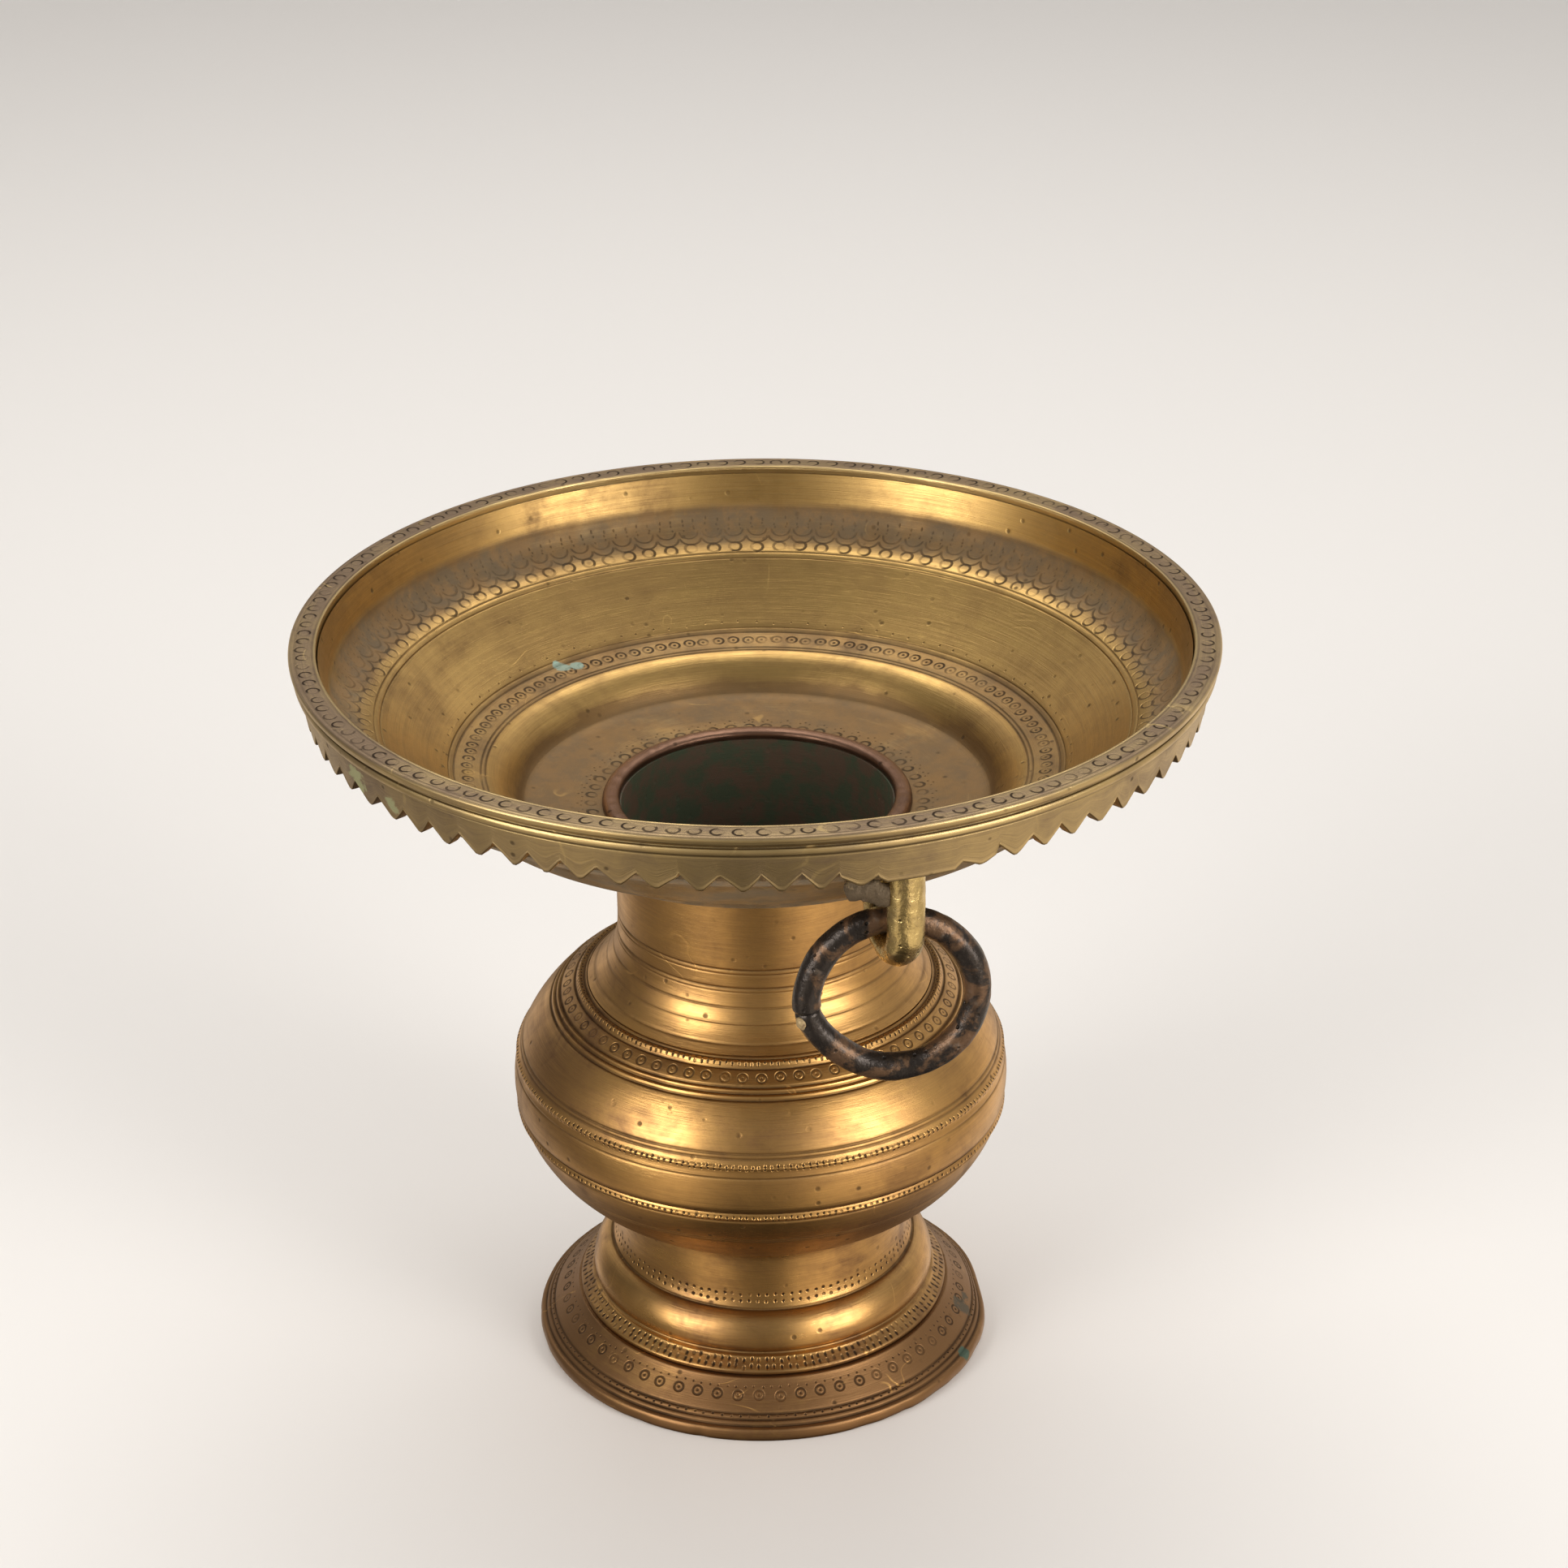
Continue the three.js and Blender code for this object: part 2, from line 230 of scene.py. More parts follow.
def hill(distance, width):
    """A smooth hill: 1 at no distance, and nearly 0 two widths away."""
    return np.exp(-((distance / width) ** 2))


def angle_past(angle, start):
    """How far an angle is past another, from minus half a turn to half a turn."""
    return (angle - start + math.pi) % FULL_TURN - math.pi


def length_of(points):
    """The length of a polyline."""
    return sum(math.dist(a, b) for a, b in zip(points, points[1:]))


def crossing(points, axis, value):
    """How far along a polyline, in millimetres, it first passes a radius or a level."""
    column = 0 if axis == "r" else 1
    travelled = 0.0
    for a, b in zip(points, points[1:]):
        step = math.dist(a, b)
        if (a[column] - value) * (b[column] - value) <= 0 and a[column] != b[column]:
            return travelled + step * (value - a[column]) / (b[column] - a[column])
        travelled += step
    raise ValueError(f"the outline doesn't cross {axis} = {value}")


class Profile:
    """A closed outline with turned marks cut in it. A mark is (axis, value, width, depth).

    face is the side that carries the marks, back closes the outline. A negative depth is a ridge.
    """

    SPREAD = np.array([-2.2, -1.6, -1.1, -0.7, -0.35, 0, 0.35, 0.7, 1.1, 1.6, 2.2])
    CLOSEST = 0.03
    # Darkening from cut marks, patina in the grooves and painted shade round them, is full at this cut depth.
    FULL_DIRT_AND_SHADE_DEPTH = 0.35

    def __init__(self, face, back, marks=()):
        loop = np.array(list(face) + list(back), float)
        closed = np.vstack([loop, loop[:1]])
        steps = np.linalg.norm(np.diff(closed, axis=0), axis=1)
        at = np.concatenate([[0], np.cumsum(steps)])
        places = [crossing(face, axis, value) for axis, value, _, _ in marks]
        wanted = [at[:-1]]
        for place, (_, _, width, _) in zip(places, marks):
            wanted.append(place + self.SPREAD * width)
        spots = np.unique(np.clip(np.concatenate(wanted), 0, at[-2]))
        keep = np.concatenate([[True], np.diff(spots) > self.CLOSEST])
        corners = np.isin(spots, at)
        spots = spots[keep | corners]
        self.along = spots
        self.r = np.interp(spots, at, closed[:, 0])
        self.z = np.interp(spots, at, closed[:, 1])
        area = np.sum(self.r * np.roll(self.z, -1) - np.roll(self.r, -1) * self.z)
        dr = np.roll(self.r, -1) - np.roll(self.r, 1)
        dz = np.roll(self.z, -1) - np.roll(self.z, 1)
        length = np.hypot(dr, dz) * np.sign(area)
        self.out_r, self.out_z = dz / length, -dr / length
        self.faced = (spots <= length_of(face) + 0.3).astype(float)
        self.cut = np.zeros(len(spots))
        # Each mark darkens the outline round it: patina that sits in the groove, and painted shade spread wider than
        # the cut, standing in for the shade in it. A ridge lightens it instead.
        self.dirt_and_shade = np.zeros(len(spots))
        for place, (_, _, width, depth) in zip(places, marks):
            dirt_and_shade_share = np.clip(depth / self.FULL_DIRT_AND_SHADE_DEPTH, -1, 1)
            self.cut += depth * hill(spots - place, width)
            self.dirt_and_shade += dirt_and_shade_share * hill(spots - place, width * 1.5)


# ---- Meshes --------------------------------------------------------------------------------


def wander(angles, seed, waves=7, lowest=1):
    """A smooth uneven value round the vessel, from about -1 to 1."""
    draw = np.random.default_rng(seed)
    total = np.zeros_like(angles)
    for n in range(lowest, lowest + waves):
        total += draw.normal() * np.sin(n * angles + draw.uniform(0, FULL_TURN)) / math.sqrt(n)
    return total / max(np.abs(total).max(), 1e-9)


def even_angles(count):
    """Angles round the vessel, measured from the lug's side."""
    return np.linspace(0, FULL_TURN, count, endpoint=False)


def mesh_object(name, spots, faces, values=None, sharp=38):
    """An object from points in millimetres, with a number at each point for each named value.

    Edges that turn by more than the sharp angle, in degrees, stay crisp.
    """
    mesh = bpy.data.meshes.new(name)
    mesh.from_pydata((spots * MM).tolist(), [], faces)
    for label, numbers in (values or {}).items():
        layer = mesh.attributes.new(label, "FLOAT", "POINT")
        layer.data.foreach_set("value", np.ascontiguousarray(numbers, np.float32).ravel())
    mesh.shade_smooth()
    mesh.set_sharp_from_angle(angle=math.radians(sharp))
    mesh.update()
    piece = bpy.data.objects.new(name, mesh)
    bpy.context.scene.collection.objects.link(piece)
    return piece


def grid_faces(rows, columns):
    """Faces of a grid that closes on itself both ways."""
    i, j = np.meshgrid(np.arange(rows), np.arange(columns), indexing="ij")
    i2, j2 = (i + 1) % rows, (j + 1) % columns
    corners = [i * columns + j, i2 * columns + j, i2 * columns + j2, i * columns + j2]
    return np.stack(corners, axis=-1).reshape(-1, 4)


def outward(spots, faces):
    """The faces, turned over if they enclose a negative volume."""
    a, b, c, d = (spots[faces[:, k]] for k in range(4))
    volume = np.einsum("ij,ij->i", a, np.cross(b, c)).sum()
    volume += np.einsum("ij,ij->i", a, np.cross(c, d)).sum()
    return faces if volume > 0 else faces[:, ::-1]


def turned_piece(name, profile, angles, seed, uneven=0.12, reshape=None):
    """A profile carried round the axis, slightly out of true, with hand-cut marks."""
    a = angles[None, :]
    depth = 0.85 + 0.15 * wander(angles, seed + 1, waves=24, lowest=5)[None, :]
    sway = uneven * wander(angles, seed, waves=5, lowest=2)[None, :]
    r = profile.r[:, None] - profile.out_r[:, None] * profile.cut[:, None] * depth + sway * 0.6
    z = profile.z[:, None] - profile.out_z[:, None] * profile.cut[:, None] * depth
    if reshape:
        r, z = reshape(r, z, a)
    x, y = r * np.sin(a), -r * np.cos(a)
    spots = np.stack([x, y, np.broadcast_to(z, x.shape)], axis=-1).reshape(-1, 3)
    faces = outward(spots, grid_faces(len(profile.r), len(angles)))
    values = {
        "along": np.broadcast_to(profile.along[:, None], x.shape),
        "recess": profile.dirt_and_shade[:, None] * depth,
        "faced": np.broadcast_to(profile.faced[:, None], x.shape),
    }
    return mesh_object(name, spots, faces.tolist(), values)


def swept_piece(name, path, across, section, closed, rough):
    """A bar along a path. across gives the section's first axis at each point of the path.

    rough takes the finished points, row by row, and moves them.
    """
    path, across = np.array(path, float), np.array(across, float)
    ahead = np.roll(path, -1, axis=0) - np.roll(path, 1, axis=0)
    if not closed:
        ahead[0], ahead[-1] = path[1] - path[0], path[-1] - path[-2]
    ahead /= np.linalg.norm(ahead, axis=1)[:, None]
    over = np.cross(ahead, across)
    first, second = section
    spots = (
        path[:, None, :]
        + across[:, None, :] * first[..., None]
        + over[:, None, :] * second[..., None]
    )
    rows, columns = spots.shape[:2]
    spots = rough(spots).reshape(-1, 3)
    grid = grid_faces(rows, columns)
    if not closed:
        grid = grid[: (rows - 1) * columns]
    faces = outward(spots, grid).tolist()
    if not closed:
        turned = faces[0] != grid[0].tolist()
        start = list(range(columns))
        end = [(rows - 1) * columns + k for k in range(columns)]
        faces += [start if turned else start[::-1], end[::-1] if turned else end]
    return mesh_object(name, spots, faces, sharp=50)


def set_in_place(piece, body, node, slot, material):
    """Gives a piece its finish and lets it stand for its node on its body."""
    piece.data.materials.append(material)
    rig.ride(piece, body)
    if node:
        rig.replaces(piece, node)
    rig.slot(piece, slot)


# ---- Node wiring ---------------------------------------------------------------------------


class Amount:
    """A varying number in a node tree, with ordinary arithmetic."""

    def __init__(self, wiring, socket):
        self.wiring, self.socket = wiring, socket

    def math(self, operation, *others):
        return self.wiring.math(operation, self, *others)

    def __add__(self, other):
        return self.math("ADD", other)

    def __sub__(self, other):
        return self.math("SUBTRACT", other)

    def __rsub__(self, other):
        return self.wiring.math("SUBTRACT", other, self)

    def __mul__(self, other):
        return self.math("MULTIPLY", other)

    def __truediv__(self, other):
        return self.math("DIVIDE", other)

    __radd__, __rmul__ = __add__, __mul__

    def ramp(self, zero_at, one_at):
        """0 at one value and 1 at the other, smooth between them."""
        node = self.wiring.node(
            "ShaderNodeMapRange",
            {"interpolation_type": "SMOOTHSTEP"},
            {"Value": self, "From Min": zero_at, "From Max": one_at},
        )
        return Amount(self.wiring, node.outputs["Result"])

    def clamped(self):
        return self.math("MAXIMUM", 0.0).math("MINIMUM", 1.0)


class Wiring:
    """Adds nodes to one tree and wires them."""

    def __init__(self, tree):
        self.tree = tree

    def feed(self, socket, value):
        if isinstance(value, Amount):
            self.tree.links.new(value.socket, socket)
        elif isinstance(value, bpy.types.NodeSocket):
            self.tree.links.new(value, socket)
        else:
            socket.default_value = value

    def node(self, kind, settings=None, inputs=None):
        made = self.tree.nodes.new(kind)
        for label, value in (settings or {}).items():
            setattr(made, label, value)
        for label, value in (inputs or {}).items():
            self.feed(made.inputs[label], value)
        return made

    def math(self, operation, *values):
        made = self.tree.nodes.new("ShaderNodeMath")
        made.operation = operation
        for socket, value in zip(made.inputs, values):
            self.feed(socket, value)
        return Amount(self, made.outputs[0])

    def vector(self, x, y, z):
        return self.node("ShaderNodeCombineXYZ", None, {"X": x, "Y": y, "Z": z}).outputs[0]

    def spot(self):
        """The place on the piece, in metres."""
        return self.node("ShaderNodeTexCoord").outputs["Object"]

    def noise(self, vector, scale, detail=4.0, roughness=0.55, distortion=0.0):
        inputs = {"Vector": vector, "Scale": scale, "Detail": detail}
        inputs.update({"Roughness": roughness, "Distortion": distortion})
        return Amount(self, self.node("ShaderNodeTexNoise", None, inputs).outputs[0])

    def mix(self, share, first, second):
        """A colour between two colours."""
        made = self.node("ShaderNodeMix", {"data_type": "RGBA"})
        self.feed(made.inputs[0], share)
        self.feed(made.inputs[6], first)
        self.feed(made.inputs[7], second)
        return made.outputs[2]

    def use(self, name, inputs=None):
        """Places a node group and gives back its outputs by name."""
        made = self.tree.nodes.new("ShaderNodeGroup")
        made.node_tree = bpy.data.node_groups[name]
        for label, value in (inputs or {}).items():
            self.feed(made.inputs[label], value)
        found = {}
        for socket in made.outputs:
            is_number = socket.type == "VALUE"
            found[socket.name] = Amount(self, socket) if is_number else socket
        return found


def socket_type(default):
    """The kind of socket for a default: a number, a colour of four or a vector of three."""
    if isinstance(default, float):
        return "NodeSocketFloat"
    return "NodeSocketColor" if len(default) == 4 else "NodeSocketVector"


def new_group(name, inputs, outputs):
    """An empty node group with named sockets: its wiring, its inputs, and a call that ends it.

    The output named Colour is a colour, and the others are numbers.
    """
    tree = bpy.data.node_groups.new(name, "ShaderNodeTree")
    for label, default in inputs.items():
        kind = socket_type(default)
        tree.interface.new_socket(label, in_out="INPUT", socket_type=kind).default_value = default
    for label in outputs:
        kind = "NodeSocketColor" if label == "Colour" else "NodeSocketFloat"
        tree.interface.new_socket(label, in_out="OUTPUT", socket_type=kind)
    wiring = Wiring(tree)
    start, end = tree.nodes.new("NodeGroupInput"), tree.nodes.new("NodeGroupOutput")
    given = {}
    for label, default in inputs.items():
        socket = start.outputs[label]
        given[label] = Amount(wiring, socket) if isinstance(default, float) else socket

    def finish(**results):
        for label, value in results.items():
            wiring.feed(end.inputs[label], value)

    return wiring, given, finish


# ---- Effects that several finishes share ---------------------------------------------------


def make_place_group():
    """Where a point is on the turned vessel."""
    outputs = ("Turn", "Radius", "Height", "Along", "Recess", "Faced", "Side", "Front")
    w, _, finish = new_group("Place on the vessel", {}, outputs)
    split = w.node("ShaderNodeSeparateXYZ", None, {"Vector": w.spot()}).outputs
    x, y, z = (Amount(w, s) / MM for s in split)
    radius = (x * x + y * y).math("SQRT").math("MAXIMUM", 0.01)
    turn = x.math("ARCTAN2", y * -1) / FULL_TURN + 0.5
    along, recess, faced = (
        Amount(w, w.node("ShaderNodeAttribute", {"attribute_name": label}).outputs["Fac"])
        for label in ("along", "recess", "faced")
    )
    finish(
        Turn=turn,
        Radius=radius,
        Height=z,
        Along=along,
        Recess=recess,
        Faced=faced.ramp(0.5, 1.0),
        Side=x / radius,
        Front=y / radius,
    )


def make_lathe_group():
    """Fine and broad streaks that run round a turned surface."""
    w, given, finish = new_group(
        "Lathe streaks",
        {"Along": 0.0, "Side": 0.0, "Front": 0.0, "Length": 1.6},
        ("Fine", "Middle", "Broad"),
    )
    side, front = given["Side"] * given["Length"], given["Front"] * given["Length"]
    fine = w.noise(w.vector(side * 3, front * 3, given["Along"] * 3.4), 1.0, 3.0, 0.7)
    middle = w.noise(w.vector(side * 2, front * 2, given["Along"] * 0.75), 1.0, 3.0, 0.6, 0.3)
    broad = w.noise(w.vector(side, front, given["Along"] * 0.13), 1.0, 4.0, 0.6, 0.6)
    finish(Fine=fine, Middle=middle, Broad=broad)


def make_stamp_group():
    """A row of struck marks round the vessel: rings, and dots in their middles."""
    w, given, finish = new_group(
        "Stamped row",
        {
            "Turn": 0.0, "Across": 0.0, "Round": 900.0, "Count": 100.0, "Ring": 2.0,
            "Line": 0.45, "Dot": 0.6, "Open": 0.0, "Jitter": 0.3, "Seed": 0.0,
        },
        ("Ring", "Dot"),
    )
    cell = given["Turn"] * given["Count"]
    index = cell.math("FLOOR")
    pick = w.node(
        "ShaderNodeTexWhiteNoise",
        {"noise_dimensions": "2D"},
        {"Vector": w.vector(index, given["Seed"], 0.0)},
    )
    draws = w.node("ShaderNodeSeparateColor", None, {"Color": pick.outputs["Color"]}).outputs
    first, second, third = (Amount(w, s) for s in draws)
    pitch = given["Round"] / given["Count"]
    sideways = (cell.math("FRACT") - 0.5) * pitch + (first - 0.5) * given["Jitter"] * 2
    across = given["Across"] + (second - 0.5) * given["Jitter"] * 2
    distance = (sideways * sideways + across * across).math("SQRT")
    strength = third.ramp(-0.5, 0.55)
    ring = (distance - given["Ring"]).math("ABSOLUTE").ramp(given["Line"], given["Line"] * 0.3)
    bearing = across.math("ARCTAN2", sideways) - (third - 0.5) * 3.0 + 1.2
    opening = (1 + bearing.math("COSINE")) * 0.5
    kept = 1 - given["Open"] * opening.ramp(0.55, 0.9)
    dot = distance.ramp(given["Dot"], given["Dot"] * 0.35)
    finish(Ring=ring * kept * strength, Dot=dot * strength)


def make_pit_group():
    """Small pits and hair scratches."""
    w, given, finish = new_group(
        "Pits and scratches",
        {"Pit scale": 220.0, "Scratch scale": 26.0, "Seed": 0.0},
        ("Pits", "Scratches"),
    )
    spot = w.spot()
    shift = w.vector(given["Seed"], given["Seed"] * 0.7, given["Seed"] * -0.4)
    moved = w.node("ShaderNodeVectorMath", {"operation": "ADD"}, {0: spot, 1: shift}).outputs[0]
    cells = w.node(
        "ShaderNodeTexVoronoi", None, {"Vector": moved, "Scale": given["Pit scale"]}
    )
    draws = w.node("ShaderNodeSeparateColor", None, {"Color": cells.outputs["Color"]}).outputs
    chosen = Amount(w, draws[0]).ramp(0.72, 0.95)
    pits = Amount(w, cells.outputs["Distance"]).ramp(0.26, 0.08) * chosen
    lines = w.noise(moved, given["Scratch scale"], 1.0, 0.5, 1.5)
    thin = (lines - 0.5).math("ABSOLUTE").ramp(0.01, 0.003)
    where = w.noise(moved, given["Scratch scale"] * 2.3, 2.0).ramp(0.56, 0.68)
    finish(Pits=pits, Scratches=thin * where)


def make_age_group():
    """Brass that is clean where it is rubbed and dark where dirt and tarnish stay."""
    w, given, finish = new_group(
        "Aged brass",
        {
            "Clean": (0.6, 0.4, 0.15, 1),
            "Aged": (0.3, 0.18, 0.07, 1),
            "Dark": (0.04, 0.025, 0.015, 1),
            "Streak": 0.5,
            "Cloud": 0.5,
            "Recess": 0.0,
            "Marks": 0.0,
            "Shadow": 0.0,
        },
        ("Colour", "Roughness"),
    )
    spot = w.spot()
    cloud = w.noise(spot, 13.0, 6.0, 0.62, 0.6).ramp(0.38, 0.66)
    smear = w.noise(spot, 46.0, 5.0, 0.6, 0.8).ramp(0.48, 0.74)
    speck = w.noise(spot, 150.0, 5.0, 0.7)
    age = given["Cloud"] * (cloud * 0.75 + smear * 0.55) + (given["Streak"] - 0.5) * 1.9
    age = age + (speck - 0.5) * 0.45 + 0.1
    # Extra age from the finish: tarnish on some pieces, painted shade and painted light on others.
    age = (age + given["Shadow"]).clamped()
    # Recesses go to the dark colour: patina in grooves and struck marks, and painted shade in the recesses.
    dirt_and_shade = (given["Recess"].math("MAXIMUM", 0.0) * (0.65 + speck * 0.5)).clamped()
    dirt_and_shade = dirt_and_shade.math("MAXIMUM", given["Marks"])
    # Ridges go to the clean colour: rubbed wear, and on the rim's tooth edges a painted highlight.
    rubbed = (given["Recess"] * -1).math("MAXIMUM", 0.0).clamped()
    colour = w.mix(age, given["Clean"], given["Aged"])
    colour = w.mix(rubbed * 0.55, colour, given["Clean"])
    colour = w.mix(dirt_and_shade * 0.95, colour, given["Dark"])
    roughness = 0.31 + age * 0.14 + dirt_and_shade * 0.22 + (speck - 0.5) * 0.12
    finish(Colour=colour, Roughness=roughness.clamped())


def make_spot_group():
    """A ragged spot round one place on the surface."""
    w, given, finish = new_group(
        "Ragged spot",
        {"Centre": (0.0, 0.0, 0.0), "Size": 4.0, "Ragged": 0.5, "Grain": 300.0},
        ("Mask",),
    )
    spot = w.spot()
    scaled = w.node(
        "ShaderNodeVectorMath", {"operation": "SCALE"}, {"Vector": spot, "Scale": 1 / MM}
    ).outputs[0]
    gap = w.node(
        "ShaderNodeVectorMath", {"operation": "DISTANCE"}, {0: scaled, 1: given["Centre"]}
    ).outputs["Value"]
    edge = w.noise(spot, given["Grain"], 4.0, 0.65)
    near = Amount(w, gap) / given["Size"] + (edge - 0.5) * given["Ragged"] * 3
    finish(Mask=near.ramp(1.0, 0.7))


def make_effects():
    """Builds each shared effect once."""
    makers = {
        "Place on the vessel": make_place_group,
        "Lathe streaks": make_lathe_group,
        "Stamped row": make_stamp_group,
        "Pits and scratches": make_pit_group,
        "Aged brass": make_age_group,
        "Ragged spot": make_spot_group,
    }
    for name, make in makers.items():
        if name not in bpy.data.node_groups:
            make()


# ---- Finishes ------------------------------------------------------------------------------


def stamped(w, place, across, radius, **values):
    """A stamped row at a radius; across is the distance from the row's middle line."""
    inputs = {"Turn": place["Turn"], "Across": across, "Round": FULL_TURN * radius}
    inputs.update({label.capitalize(): value for label, value in values.items()})
    return w.use("Stamped row", inputs)


def dots_only(w, place, across, radius, **values):
    """A mask of a row of struck dots; the ring is too wide for its cell and isn't used."""
    return stamped(w, place, across, radius, ring=9.0, line=0.1, **values)["Dot"]


def rings_only(w, place, across, radius, **values):
    """A mask of a row of struck rings, or of arcs where a cell holds only a part of one."""
    return stamped(w, place, across, radius, dot=0.01, **values)["Ring"]


def new_finish(name):
    """An empty material and its wiring."""
    make_effects()
    material = bpy.data.materials.new(name)
    material.use_nodes = True
    material.node_tree.nodes.clear()
    return material, Wiring(material.node_tree)


def metal_surface(w, colour, roughness, metallic, height):
    """Ends a finish with its metal, and a bump whose height is in millimetres."""
    bump = w.node("ShaderNodeBump", None, {"Strength": 1.0, "Distance": MM, "Height": height})
    inputs = {"Base Color": colour, "Roughness": roughness, "Metallic": metallic}
    inputs["Normal"] = bump.outputs[0]
    shader = w.node("ShaderNodeBsdfPrincipled", None, inputs)
    w.node("ShaderNodeOutputMaterial", None, {"Surface": shader.outputs[0]})


def turned_brass(
    name, colours, seed, marks=None, spots=(), shadow=None, cloud=0.8, gloss=0.0, crust=None
):
    """A turned brass finish. marks and shadow work out masks; spots are coloured patches.

    crust is a mask and two colours for a dull mottled layer over the brass.
    """
    material, w = new_finish(name)
    place = w.use("Place on the vessel")
    streaks = w.use("Lathe streaks", {k: place[k] for k in ("Along", "Side", "Front")})
    flaws = w.use("Pits and scratches", {"Seed": float(seed)})
    streak = streaks["Fine"] * 0.35 + streaks["Middle"] * 0.3 + streaks["Broad"] * 0.35
    struck = marks(w, place) * place["Faced"] if marks else place["Faced"] * 0.0
    dark_marks = struck.math("MAXIMUM", flaws["Pits"] * 0.7).clamped()
    inputs = {
        "Clean": (*colours.clean, 1),
        "Aged": (*colours.aged, 1),
        "Dark": (*colours.dark, 1),
        "Streak": streak,
        "Cloud": cloud,
        "Recess": place["Recess"],
        "Marks": dark_marks,
    }
    if shadow:
        inputs["Shadow"] = shadow(w, place)
    aged = w.use("Aged brass", inputs)
    colour, roughness = aged["Colour"], aged["Roughness"] + gloss
    colour = w.mix(flaws["Scratches"] * 0.6, colour, (*colours.clean, 1))
    for centre, size, tint, ragged in spots:
        mask = w.use("Ragged spot", {"Centre": centre, "Size": size, "Ragged": ragged})["Mask"]
        colour = w.mix(mask, colour, (*tint, 1))
        roughness = roughness + mask * 0.35
    metallic = 1.0
    if crust:
        where, base, mottled = crust
        layer = where(w, place)
        mottle = w.noise(w.spot(), 120.0, 6.0, 0.7).ramp(0.4, 0.62)
        colour = w.mix(layer, colour, w.mix(mottle, (*base, 1), (*mottled, 1)))
        roughness = roughness + layer * 0.25
        metallic = 1 - layer * 0.8
    height = (
        (streaks["Fine"] - 0.5) * 0.055
        + (streaks["Middle"] - 0.5) * 0.05
        - struck * 0.2
        - flaws["Pits"] * 0.09
        - flaws["Scratches"] * 0.02
    )
    metal_surface(w, colour, roughness, metallic, height)
    return material


def worn_bar(
    name, base, patch, rub, seed, patch_scale, patch_edges, roughness=0.3, metallic=1.0, bumps=0.5
):
    """A cast or forged bar: base colour, patches over it, and small rubbed places."""
    material, w = new_finish(name)
    flaws = w.use("Pits and scratches", {"Seed": float(seed), "Pit scale": 330.0})
    spot = w.spot()
    patches = w.noise(spot, patch_scale, 6.0, 0.65, 0.5).ramp(*patch_edges)
    grain = w.noise(spot, 520.0, 4.0, 0.7)
    lumps = w.noise(spot, 190.0, 4.0, 0.6)
    colour = w.mix(patches, (*base, 1), (*patch, 1))
    colour = w.mix(lumps.ramp(0.6, 0.78) * 0.7, colour, (*rub, 1))
    colour = w.mix(flaws["Pits"] * 0.85, colour, tuple(c * 0.15 for c in base) + (1,))
    height = (lumps - 0.5) * bumps + (grain - 0.5) * bumps * 0.4 - flaws["Pits"] * bumps * 0.9
    rough = roughness + (grain - 0.5) * 0.25 + patches * 0.12 + flaws["Pits"] * 0.2
    metal_surface(w, colour, rough.clamped(), metallic, height)
    return material


class Tones:
    """The three tones of an aged metal."""

    def __init__(self, clean, aged, dark):
        self.clean, self.aged, self.dark = tuple(clean), tuple(aged), tuple(dark)


def pot_tones(looks):
    """The tones that the pot, its neck and its foot share."""
    return Tones(looks.pot_clean, looks.pot_aged, looks.pot_dark)


# ---- The standing plate and stem -----------------------------------------------------------


